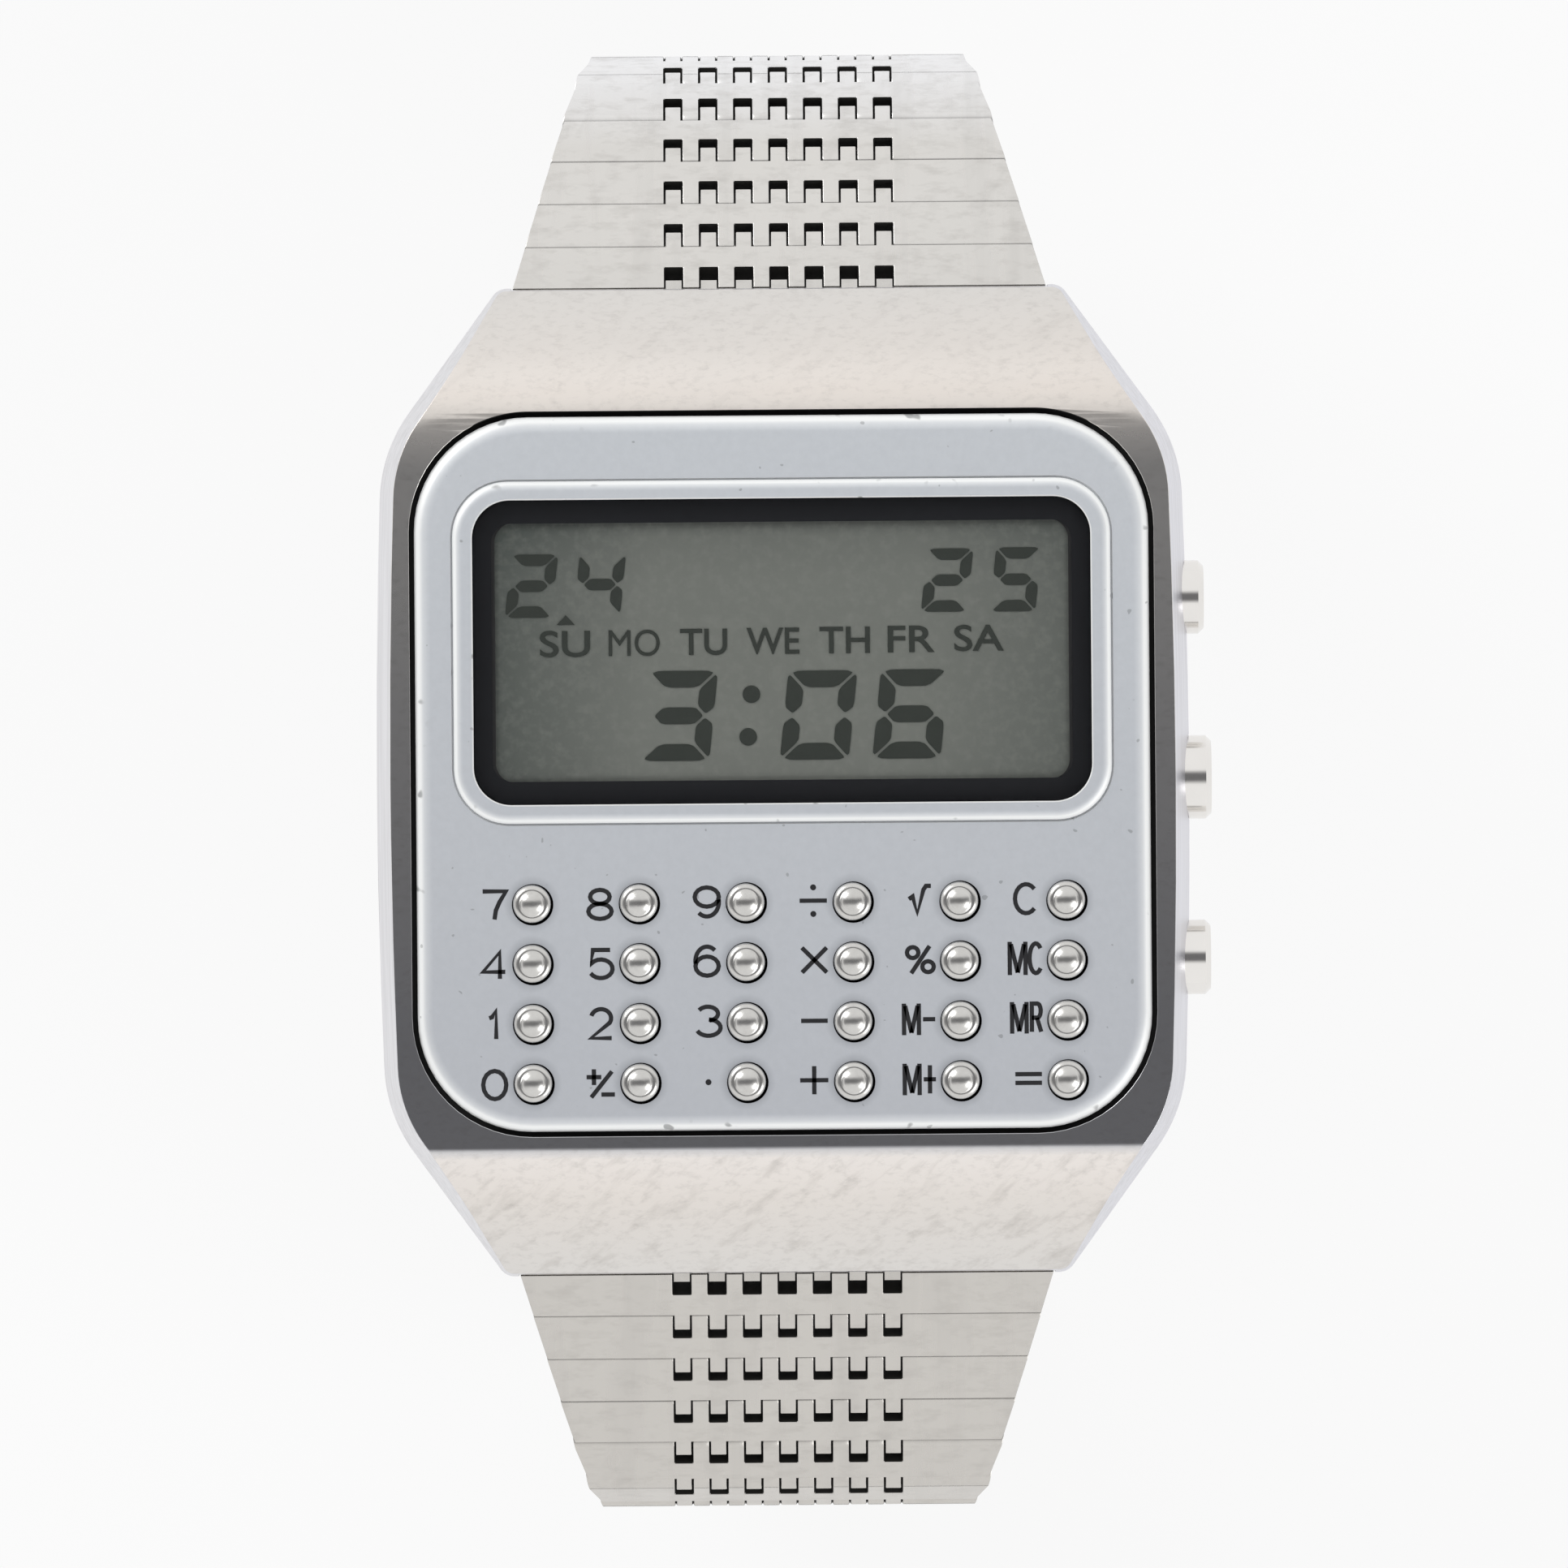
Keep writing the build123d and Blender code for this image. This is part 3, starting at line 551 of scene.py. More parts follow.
# The painted shade of the recess ends just past its wall
shade_past_wall = 0.03 * mm
recess_half_x = plate_width / 2 + plate_gap + shade_past_wall
recess_half_y = plate_length / 2 + plate_gap + shade_past_wall
recess_radius = plate_radius + plate_gap + shade_past_wall
recess_floor = face_low[2] - 0.02 * mm
plan = rounded(case_corners())
case_shell = stacked("case_shell", [
    (plan, case_low[2]), (plan, ring_z - lean_depth), (moved_in(plan, ring_inset), ring_z)])
past_flanks = 1.1
carved(case_shell, upended(rounded(hood_corners(), 8), 2 * past_flanks * case_half_x), "INTERSECT")
recess_plan = rounded_box(plate_width + 2 * plate_gap, plate_length + 2 * plate_gap,
                          plate_radius + plate_gap, plate_y)
carved(case_shell, stacked("recess", [(recess_plan, recess_floor), (recess_plan, ring_z + overrun)]))

# The hollow that holds the works
board_low, board_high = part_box("circuit_board")
hollow_margin = 0.3 * mm
hollow_radius = 1.4 * mm
hollow_plan = rounded_box(board_high[0] - board_low[0] + 2 * hollow_margin,
                          board_high[1] - board_low[1] + 2 * hollow_margin, hollow_radius, plate_y, 1)
carved(case_shell, stacked("hollow", [(hollow_plan, case_low[2] - overrun), (hollow_plan, face_low[2])]))

# A pocket for the end link under each hood
end_low, end_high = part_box("end_links")
pocket_depth = 3.16 * mm
pocket_gap = 0.06 * mm
pocket_low = case_low[2] - overrun
pocket_top = end_high[2] + pocket_gap
for side in (1, -1):
    inner_y = side * (case_half_y - pocket_depth)
    outer_y = side * (case_half_y + overrun)
    carved(case_shell, upended([(inner_y, pocket_low), (outer_y, pocket_low), (outer_y, pocket_top),
                                (inner_y, pocket_top)], end_high[0] - end_low[0] + 2 * pocket_gap))

# Each side button has a wide bore for its head and a deep one for its stem
head_bore_gap = 0.05 * mm
head_bore_depth = 2.1 * mm
stem_share = 0.42
stem_bore_gap = 0.07 * mm
stem_bore_depth = 4.9 * mm
drill_length = 3 * mm
for word in ("upper", "middle", "lower"):
    low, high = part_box(f"pusher_{word}")
    head = high[1] - low[1]
    for bore, depth in ((head + 2 * head_bore_gap, head_bore_depth),
                        (stem_share * head + 2 * stem_bore_gap, stem_bore_depth)):
        carved(case_shell, round_bar(bore, drill_length, (
            case_half_x + drill_length / 2 - depth, (low[1] + high[1]) / 2, (low[2] + high[2]) / 2)))
tidied(case_shell, near=0.02 * mm, flat=radians(0.4))
case_piece = piece("case_shell", softened(case_shell, case_edge), make_case_steel(), "case")
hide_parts("case_body")
back_steel = make_brushed("back_steel", (0.72, 0.72, 0.72, 1), (0.5, 0.5, 0.5, 1), (1, 0.05, 1), 0.28)
dress(back_steel, "case_back")

# Face plate
# A thin pressed plate with a satin silver-blue finish and a wide rounded rim. The raised border
# round the window is part of it, set off by a fine groove, and 24 round holes take the keys.
border_height = 0.25 * mm
plate_z = face_high[2] - border_height
plate_under_z = face_low[2]
glass_low, glass_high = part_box("display_glass")
ledge_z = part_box("display_mask")[0][2]
window_y = (glass_low[1] + glass_high[1]) / 2
window_gap = 0.04 * mm
window_width = glass_high[0] - glass_low[0] + 2 * window_gap
window_length = glass_high[1] - glass_low[1] + 2 * window_gap
window_radius = 1.7 * mm
window_edge = 0.06 * mm
border_sides = (0.9 * mm, 0.85 * mm)
border_radius = 2.5 * mm
ledge_width = 1 * mm
ledge_radius = 0.9 * mm
key_hole_radius = 0.94 * mm
key_hole_shift = 0.03 * mm
key_hole_steps = 40
# How far in from the edge, and how far below the plate's top, along the rounded rim, in millimetres
rim_steps = ((0.0, 0.42), (0.03, 0.32), (0.10, 0.22), (0.22, 0.13), (0.40, 0.06), (0.62, 0.015),
             (0.80, 0.0))
# How far in and how far above the top along the border: groove, rounded edge and flat
border_steps = ((-0.09, 0.0), (-0.06, -0.07), (-0.01, -0.07), (0.0, 0.05), (0.06, 0.13), (0.18, 0.20),
                (0.34, 0.24), (0.46, 0.25))
key_nodes = [name.removesuffix("_body") for name in frame["bodies"] if name.startswith("key_")]


def middle_of(node):
    """The middle of a node as seen from above."""
    low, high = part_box(node)
    return (low[0] + high[0]) / 2, (low[1] + high[1]) / 2


key_columns = sorted({round(middle_of(node)[0], 6) for node in key_nodes})
key_lines = sorted({round(middle_of(node)[1], 6) for node in key_nodes})
key_start = (key_columns[0], key_lines[-1])
key_pitch = (key_columns[1] - key_columns[0], key_lines[1] - key_lines[0])


def make_plate_satin():
    """Satin paint, painted lighter towards 12 o'clock, with a painted highlight on rounded edges, nicked
    there, and painted shade round the keys, on steep walls and below the ledge.
    """
    satin = material("plate_satin")
    x, y, z = satin.spot()
    upward = satin.upward()
    fine = satin.noise(2600, 2, 0.7)
    cloud = satin.noise(60)
    # Painted light: the plate is painted lighter towards 12 o'clock
    fade = satin.between(y, -16 * mm, 16 * mm)
    tint = satin.mix(fade, colour(196, 199, 205), colour(209, 213, 218))
    tint = satin.mix(satin.between(fine, 0.3, 0.7) * 0.08 + 0.05 * cloud, tint, colour(150, 155, 160))
    # Painted highlight: rounded edges, which tilt away from the top, are painted near white
    highlit_edge = satin.between(upward, 0.90, 0.998, 1, 0)
    tint = satin.mix(highlit_edge * 0.9, tint, colour(250, 251, 250))
    nick = satin.between(satin.noise(1300, 1, 0.4), 0.70, 0.76) * highlit_edge
    speck = satin.between(satin.noise(2700, 0, 0.5), 0.83, 0.85) * 0.4
    tint = satin.mix(nick * 0.6 + speck, tint, colour(96, 98, 99))
    # Painted shade lies in a ring round each key, so it follows the distance to the nearest one
    across = (x - key_start[0]) * (1 / key_pitch[0])
    along = (y - key_start[1]) * (1 / key_pitch[1])
    aside = (across - maths("ROUND", across)) * key_pitch[0]
    above = (along - maths("ROUND", along)) * key_pitch[1]
    away = maths("SQRT", aside * aside + above * above)
    reach = 1.4 * mm
    near_keys = ((y < key_start[1] + reach) * (x > key_start[0] - reach)
                 * (x < key_columns[-1] + reach) * (y > key_lines[0] - reach))
    key_shade = satin.between(away, 0.92 * mm, 1.30 * mm, 1, 0) * near_keys
    tint = satin.mix(key_shade * 0.30, tint, colour(120, 124, 130))
    # Painted shade: steep walls, such as the key holes', and all below the ledge are painted near black and
    # not metallic
    wall = satin.between((abs(upward) < 0.25) + (z < ledge_z + 0.02 * mm), 0, 1)
    tint = satin.mix(wall, tint, (0.008, 0.008, 0.009, 1))
    return surface(satin, Base_Color=tint, Metallic=0.30 * (1 - wall),
                   Roughness=0.40 + 0.05 * cloud + wall * 0.2, Normal=satin.bump(fine, 0.10, 0.01 * mm))


def add_tile(mesh, outline, low, high):
    """A flat tile or plug with an outline of (x, y) points."""
    top = [mesh.verts.new((x, y, high)) for x, y in outline]
    base = [mesh.verts.new((x, y, low)) for x, y in outline]
    mesh.faces.new(top)
    mesh.faces.new(list(reversed(base)))
    count = len(outline)
    for i in range(count):
        j = (i + 1) % count
        mesh.faces.new((top[i], base[i], base[j], top[j]))


def make_face_shell():
    """Loops from the underside up round the rim, over the border and down to the glass."""
    outer = [(rounded_box(plate_width - 2 * inset * mm, plate_length - 2 * inset * mm,
                          plate_radius - inset * mm, plate_y), plate_z - drop * mm)
             for inset, drop in rim_steps]
    width = window_width + 2 * border_sides[0]
    length = window_length + 2 * border_sides[1]
    border = [(rounded_box(width - 2 * inset * mm, length - 2 * inset * mm,
                           border_radius - inset * mm, window_y), plate_z + rise * mm)
              for inset, rise in border_steps]
    mouth = rounded_box(window_width + 2 * window_edge, window_length + 2 * window_edge,
                        window_radius + window_edge, window_y)
    window = rounded_box(window_width, window_length, window_radius, window_y)
    opening = rounded_box(window_width - 2 * ledge_width, window_length - 2 * ledge_width,
                          ledge_radius, window_y)
    inner = [(mouth, plate_z + border_height), (window, plate_z + border_height - window_edge),
             (window, ledge_z), (opening, ledge_z), (opening, plate_under_z)]
    under = (rounded_box(plate_width, plate_length, plate_radius, plate_y), plate_under_z)
    shell = stacked("face_shell", [under] + outer + border + inner, closed=True)
    drills = bmesh.new()
    for node in key_nodes:
        x, y = middle_of(node)
        hole = circle((x + key_hole_shift, y - key_hole_shift), key_hole_radius, key_hole_steps)
        add_tile(drills, hole, plate_under_z - overrun, plate_z + overrun)
    carved(shell, put("drills", finished_mesh("drills", drills)))
    shell.data.shade_smooth()
    shell.data.set_sharp_from_angle(angle=radians(40))
    shell.modifiers.new("shade", "WEIGHTED_NORMAL").keep_sharp = True
    data = settled(shell)
    shell.modifiers.clear()
    bpy.data.objects.remove(shell)
    return data


face_piece = piece("face_shell", make_face_shell(), make_plate_satin(), "case")
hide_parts("face_plate")

# Display
# A mineral glass over a black printed frame and a grey-green liquid crystal panel. The digits
# are the panel's own dark segments.
glass_shine_share = 0.035


def make_glass():
    """Clear glass that shows a faint, slightly smeared reflection."""
    glass = material("display_glass")
    smear = glass.noise(90)
    clear = glass.node("ShaderNodeBsdfTransparent", sockets={"Color": (1, 1, 1, 1)})
    shine = glass.node("ShaderNodeBsdfPrincipled", sockets={
        "Base Color": (0.02, 0.02, 0.02, 1), "Roughness": 0.05 + 0.05 * smear, "IOR": 1.5})
    both = glass.node("ShaderNodeMixShader", sockets={0: glass_shine_share, 1: clear, 2: shine})
    glass.end("ShaderNodeOutputMaterial", "Surface", both)
    return glass.owner


def make_plain(name, tint, dark, rough, scale=300, metallic=0.0, specular=0.5):
    """A dull or glossy solid colour with faint cloudiness."""
    plain = material(name)
    cloud = plain.noise(scale)
    shade = plain.mix(cloud * 0.6, tint, dark)
    return surface(plain, Base_Color=shade, Metallic=metallic, Specular_IOR_Level=specular,
                   Roughness=rough + (cloud - 0.5) * 0.1, Normal=plain.bump(cloud, 0.08))


def make_panel_tint():
    """Grey-green panel with painted shade to its sides and upper part, and a painted shadow of the frame
    along its side and upper edges.
    """
    panel = material("lcd_panel")
    x, y, _ = panel.spot()
    # Painted shade: darker to the sides, more on the left, and to the upper part
    side = panel.between(abs(x), 6 * mm, 13.4 * mm) * (0.45 + 0.35 * (x < 0))
    upper = panel.between(y - window_y, 3.2 * mm, 5.9 * mm)
    # Painted shadow of the frame along the side and upper edges
    rim = (panel.between(abs(x), 12.8 * mm, 13.6 * mm)
           + panel.between(y - window_y, 5.2 * mm, 5.9 * mm))
    cloud = panel.noise(140)
    speck = panel.noise(2400, 2, 0.6)
    tint = panel.mix(side + upper * 0.25 + 0.2 * cloud, colour(118, 121, 115), colour(76, 82, 78))
    tint = panel.mix(rim * 0.4, tint, colour(50, 54, 52))
    tint = panel.mix(panel.between(speck, 0.45, 0.75) * 0.22, tint, colour(142, 144, 138))
    return surface(panel, Base_Color=tint, Roughness=0.4 + 0.1 * cloud)


glass_edge = 0.08 * mm
glass_radius = 1.64 * mm
glass_lift = 0.02 * mm
glass_size = (glass_high[0] - glass_low[0], glass_high[1] - glass_low[1])
glass_plan = rounded_box(*glass_size, glass_radius, window_y)
glass_block = stacked("window_glass", [
    (glass_plan, glass_low[2] + glass_lift), (glass_plan, glass_high[2] - glass_edge),
    (moved_in(glass_plan, glass_edge), glass_high[2])])
window_glass = piece("window_glass", glass_block.data, make_glass(), "case")
bpy.data.objects.remove(glass_block)
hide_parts("display_glass")
dress(make_plain("mask_black", colour(12, 14, 20), colour(18, 20, 26), 0.6, specular=0.3), "display_mask")
dress(make_panel_tint(), "lcd_panel")

segment_ink = make_plain("segment_ink", colour(36, 42, 36), colour(44, 50, 44), 0.6, 900)
segment_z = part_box("lcd_panel")[1][2] + 0.02 * mm
segment_depth = 0.015 * mm
centre_px = (965.0, 961.5)


def from_picture(px, py):
    """A point of the photograph as a place on the face."""
    right = (px - centre_px[0]) / px_per_mm * mm
    up = (centre_px[1] - py) / px_per_mm * mm
    return (right * cos(picture_turn) + up * sin(picture_turn),
            up * cos(picture_turn) - right * sin(picture_turn))


# Which of a digit's seven bars are dark: top, two right, bottom, two left, middle
digit_bars = {
    "0": "abcdef", "1": "bc", "2": "abged", "3": "abgcd", "4": "fgbc",
    "5": "afgcd", "6": "afgedc", "7": "abc", "8": "abcdefg", "9": "abcdfg",
}
digit_slant = tan(radians(6))
bar_gap_share = 0.028
corner_cut_share = 0.13


def bar_outline(name, width, height, thick):
    """The mitred outline of one bar of a digit in its own upright frame."""
    gap = bar_gap_share * width
    half = height / 2
    middle = thick / 2
    if name == "a":
        return [(gap, height), (width - gap, height), (width - thick - gap, height - thick),
                (thick + gap, height - thick)]
    if name == "d":
        return [(gap, 0), (thick + gap, thick), (width - thick - gap, thick), (width - gap, 0)]
    if name == "g":
        return [(middle + gap, half), (thick + gap, half + middle),
                (width - thick - gap, half + middle), (width - middle - gap, half),
                (width - thick - gap, half - middle), (thick + gap, half - middle)]
    left = [(0, height - gap), (thick, height - thick - gap), (thick, half + middle + gap),
            (middle, half + gap), (0, half + middle)]
    if name == "f":
        return left
    if name == "b":
        return [(width - x, y) for x, y in left]
    if name == "e":
        return [(x, height - y) for x, y in left]
    return [(width - x, height - y) for x, y in left]


def worn_round(outline, rounds=2):
    """An outline with its corners cut off, and those cuts' corners again."""
    for _ in range(rounds):
        cut = []
        for i, (x, y) in enumerate(outline):
            next_x, next_y = outline[(i + 1) % len(outline)]
            cut += [(x + (next_x - x) * share, y + (next_y - y) * share)
                    for share in (corner_cut_share, 1 - corner_cut_share)]
        outline = cut
    return outline


def add_digit(mesh, digit, corner, width, height, thick):
    """One slanted digit with its lower left corner at a place on the face."""
    for name in digit_bars[digit]:
        outline = [(corner[0] + x + y * digit_slant, corner[1] + y)
                   for x, y in worn_round(bar_outline(name, width, height, thick))]
        add_tile(mesh, outline, segment_z, segment_z + segment_depth)


def dot(mesh, centre, radius, z, depth, steps=20):
    """A round tile."""
    add_tile(mesh, circle(centre, radius, steps), z, z + depth)


# Digit, left and bottom pixel, width and height in pixels
large_digits = (("3", 788, 938, 86, 111), ("0", 961, 936.5, 85, 110), ("6", 1075, 935, 84, 110))
small_digits = (("2", 622, 761.5, 58, 78), ("4", 707, 758, 57, 75),
                ("2", 1135, 754, 57, 78), ("5", 1220, 753.5, 56, 79))
large_bar = 0.76 * mm
small_bar = 0.52 * mm
colon_dots = ((926, 855.5), (922, 908))
colon_radius = 0.40 * mm

digits = bmesh.new()
for row, bar in ((large_digits, large_bar), (small_digits, small_bar)):
    for text, left, bottom, width, height in row:
        add_digit(digits, text, from_picture(left, bottom), width / px_per_mm * mm,
                  height / px_per_mm * mm, bar)
for place in colon_dots:
    dot(digits, from_picture(*place), colon_radius, segment_z, segment_depth)
piece("display_digits", finished_mesh("display_digits", digits), segment_ink, "case")


def lettering(text, centre, width, height, z, depth):
    """A word as a thin mesh, stretched to a width and height about a centre on the face."""
    words = bpy.data.curves.new("words", "FONT")
    words.body = text
    words.resolution_u = 6
    words.extrude = 0.5
    # The strokes are thickened a little, except where a narrow angle would fold over itself
    words.offset = 0 if "M" in text else 0.012
    holder = put("words", words)
    bpy.context.view_layer.update()
    data = settled(holder)
    bpy.data.objects.remove(holder)
    xs = [v.co.x for v in data.vertices]
    ys = [v.co.y for v in data.vertices]
    for v in data.vertices:
        v.co.x = centre[0] + ((v.co.x - min(xs)) / (max(xs) - min(xs)) - 0.5) * width
        v.co.y = centre[1] + ((v.co.y - min(ys)) / (max(ys) - min(ys)) - 0.5) * height
        v.co.z = z + (v.co.z + 0.5) * depth
    return data


def joined(name, meshes):
    """Several meshes as one."""
    whole = bmesh.new()
    for data in meshes:
        whole.from_mesh(data)
        bpy.data.meshes.remove(data)
    bmesh.ops.remove_doubles(whole, verts=whole.verts, dist=same_point)
    return finished_mesh(name, whole)


# Weekday, left and right pixel
weekdays = (("SU", 665, 727), ("MO", 750, 813), ("TU", 838, 896), ("WE", 920, 985),
            ("TH", 1010, 1072), ("FR", 1094, 1152), ("SA", 1176, 1237))
weekday_row_px = (793.5, 786)
weekday_height = 1.2 * mm


def weekday_middle(number, left, right):
    """The middle of a weekday in the photograph, whose row climbs a little to the right."""
    climb = (weekday_row_px[1] - weekday_row_px[0]) / (len(weekdays) - 1)
    return from_picture((left + right) / 2, weekday_row_px[0] + climb * number)


day_names = [lettering(text, weekday_middle(number, left, right), (right - left) / px_per_mm * mm,
                       weekday_height, segment_z, segment_depth)
             for number, (text, left, right) in enumerate(weekdays)]
piece("display_weekdays", joined("display_weekdays", day_names), segment_ink, "case")

marker = bmesh.new()
marker_px = (697, 764)
marker_x, marker_y = from_picture(*marker_px)
marker_half = 0.41 * mm
marker_height = 0.44 * mm
add_tile(marker, [(marker_x - marker_half, marker_y - marker_height / 2),
                  (marker_x + marker_half, marker_y - marker_height / 2),
                  (marker_x, marker_y + marker_height / 2)], segment_z, segment_z + segment_depth)
piece("display_marker", finished_mesh("display_marker", marker), segment_ink, "case")

# Keys
# Twenty-four turned steel buttons that stand in the plate's round holes: a domed middle, a ring
# groove and a polished collar that slopes to the hole's edge.
class Recipe(Graph):
    """A Geometry Nodes tree with named sizes that ends in one piece of a given material."""

    def __init__(self, name, sizes, objects=()):
        super().__init__(bpy.data.node_groups.new(name, "GeometryNodeTree"))
        kinds = {"Points": "Geometry", **{thing: "Object" for thing in objects},
                 **{size: "Float" for size in sizes}, "Finish": "Material"}
        self.names = {}
        for socket, kind in kinds.items():
            made = self.tree.interface.new_socket(socket, in_out="INPUT", socket_type="NodeSocket" + kind)
            self.names[socket] = made.identifier
        self.tree.interface.new_socket("Piece", in_out="OUTPUT", socket_type="NodeSocketGeometry")
        entry = self.tree.nodes.new("NodeGroupInput")
        self.inputs = {socket: Value(self.tree, entry.outputs[socket]) for socket in kinds}

    def done(self, geometry):
        """Ends the tree in real geometry with its finish."""
        real = self.node("GeometryNodeRealizeInstances", sockets={"Geometry": geometry})
        faced = self.node("GeometryNodeSetMaterial", sockets={
            "Geometry": real, "Material": self.inputs["Finish"]})
        self.end("NodeGroupOutput", "Piece", faced)

    def grow(self, name, finish, points=None, sharp=radians(35), **inputs):
        """One plain mesh made with the given sizes."""
        holder = put(name, points or bpy.data.meshes.new(name))
        made = holder.modifiers.new("recipe", "NODES")
        made.node_group = self.tree
        for socket, value in {**inputs, "Finish": finish}.items():
            made[self.names[socket]] = value
        data = settled(holder)
        holder.modifiers.clear()
        bpy.data.objects.remove(holder)
        loose = bmesh.new()
        loose.from_mesh(data)
        bmesh.ops.recalc_face_normals(loose, faces=loose.faces)
        loose.to_mesh(data)
        loose.free()
        data.shade_smooth()
        data.set_sharp_from_angle(angle=sharp)
        return data


key_radius = 0.87 * mm
key_rows = 26
key_steps = 48
# The last two rows of a key are its wall and its underside
key_top_rows = key_rows - 2
top_ends = 1.02
wall_ends = 1.06
# Share of the radius and of the height over the collar's foot
key_profile_shares = ((0.0, 1.0), (0.15, 0.975), (0.30, 0.89), (0.45, 0.75), (0.56, 0.60), (0.62, 0.49),
                      (0.66, 0.55), (0.74, 0.57), (0.84, 0.48), (0.93, 0.32), (0.98, 0.14), (1.0, 0.0))


def key_recipe():
    """A disc of rings drawn up to the key's profile, with its wall and underside."""
    key = Recipe("round_key", ("Radius", "Base", "Foot", "Top", "X", "Y"))
    size = key.inputs
    grid = key.node("GeometryNodeMeshGrid", sockets={
        "Size X": 1.0, "Size Y": 1.0, "Vertices X": key_rows + 1, "Vertices Y": key_steps + 1})
    across, along, _ = key.axes(key.node("GeometryNodeInputPosition"))
    out = (across + 0.5) * (key_rows / key_top_rows)
    on_top = out < top_ends
    share = maths("MINIMUM", out, 1.0)
    radius = size["Radius"] * share * (out < wall_ends)
    profile = key.node("ShaderNodeFloatCurve", sockets={"Value": share})
    curve = profile.socket.node.mapping.curves[0]
    for place, height in key_profile_shares[1:-1]:
        curve.points.new(place, height)
    curve.points[0].location = key_profile_shares[0]
    curve.points[-1].location = key_profile_shares[-1]
    profile.socket.node.mapping.update()
    surface_height = size["Foot"] + (size["Top"] - size["Foot"]) * profile
    height = size["Base"] + (surface_height - size["Base"]) * on_top
    angle = (along + 0.5) * (2 * pi)
    place = key.node("ShaderNodeCombineXYZ", sockets={
        "X": size["X"] + radius * maths("COSINE", angle),
        "Y": size["Y"] + radius * maths("SINE", angle), "Z": height})
    drawn = key.node("GeometryNodeSetPosition", sockets={"Geometry": grid, "Position": place})
    key.done(key.node("GeometryNodeMergeByDistance", sockets={"Geometry": drawn, "Distance": 0.0004 * mm}))
    return key


def make_key_steel():
    """Turned steel with fine, faintly darker specks."""
    steel = material("key_steel")
    fine = steel.noise(1800, 3, 0.6)
    speck = steel.between(fine, 0.35, 0.7) * 0.25
    tint = steel.mix(speck, (0.64, 0.63, 0.61, 1), (0.44, 0.43, 0.415, 1))
    return surface(steel, Base_Color=tint, Metallic=1.0, Roughness=0.21 + 0.08 * fine,
                   Normal=steel.bump(fine, 0.05, 0.01 * mm))


key_steel = make_key_steel()
round_key = key_recipe()
collar_foot = 0.04 * mm
for node in key_nodes:
    low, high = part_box(node)
    x, y = middle_of(node)
    mesh = round_key.grow(node + "_turned", key_steel, Radius=key_radius, Base=low[2],
                          Foot=plate_z + collar_foot, Top=high[2], X=x, Y=y)
    turned_key = piece(node + "_turned", mesh, key_steel, node + "_body")
    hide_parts(node)

# Key legends
# Black ink printed on the plate to the left of each key: digits, signs and the memory letters.
# Every mark is as thick as a coat of paint.
ink = make_plain("legend_ink", colour(18, 18, 22), colour(30, 30, 34), 0.45, 900)
ink_low = plate_z - 0.004 * mm
ink_depth = 0.012 * mm
stroke = 0.195 * mm
longest_mitre = 1.7
dot_radius = 0.135 * mm
# Width, height and place from the key's middle of each legend, in millimetres
legend_boxes = {
    "7": (1.25, 1.47, -1.70, -0.05), "8": (1.25, 1.51, -1.76, -0.04), "9": (1.29, 1.51, -1.76, 0.03),
    "divide": (1.43, 1.40, -1.78, 0.05), "root": (1.20, 1.43, -1.79, 0.06),
    "clear": (1.20, 1.51, -1.82, 0.06),
    "4": (1.21, 1.40, -1.74, -0.06), "5": (1.25, 1.47, -1.74, -0.03), "6": (1.25, 1.51, -1.77, 0.06),
    "multiply": (1.32, 1.32, -1.75, 0.07), "percent": (1.43, 1.43, -1.79, 0.05),
    "memory_clear": (1.62, 1.54, -1.87, 0.07),
    "1": (0.55, 1.47, -1.80, -0.04), "2": (1.14, 1.51, -1.75, -0.02), "3": (1.29, 1.51, -1.73, 0.05),
    "minus": (1.40, 0.15, -1.77, 0.03), "memory_minus": (1.54, 1.47, -1.88, 0.06),
    "memory_recall": (1.51, 1.47, -1.84, 0.09),
    "0": (1.24, 1.47, -1.75, -0.05), "sign": (1.47, 1.47, -1.79, -0.01), "point": (0.27, 0.27, -1.75, 0.0),
    "plus": (1.47, 1.47, -1.80, 0.05), "memory_plus": (1.54, 1.47, -1.87, 0.05),
    "equals": (1.40, 0.59, -1.77, 0.05),
}


def bow(x, y, wide, high, start, stop, steps=16):
    """Points along part of an oval, in degrees."""
    return [(x + wide * cos(radians(start + (stop - start) * i / steps)),
             y + high * sin(radians(start + (stop - start) * i / steps))) for i in range(steps + 1)]


def narrowed(paths, low, high):
    """A letter's strokes squeezed into part of the width."""
    return [[(low + (x + 0.5) * (high - low), y) for x, y in path] for path in paths]


# Middle lines of each legend's strokes, as shares of its width and height about its middle
flat_bar = [(-0.5, 0), (0.5, 0)]
six = [bow(0, 0, 0.5, 0.5, 48, 190), bow(0, -0.17, 0.5, 0.33, 0, 360)]
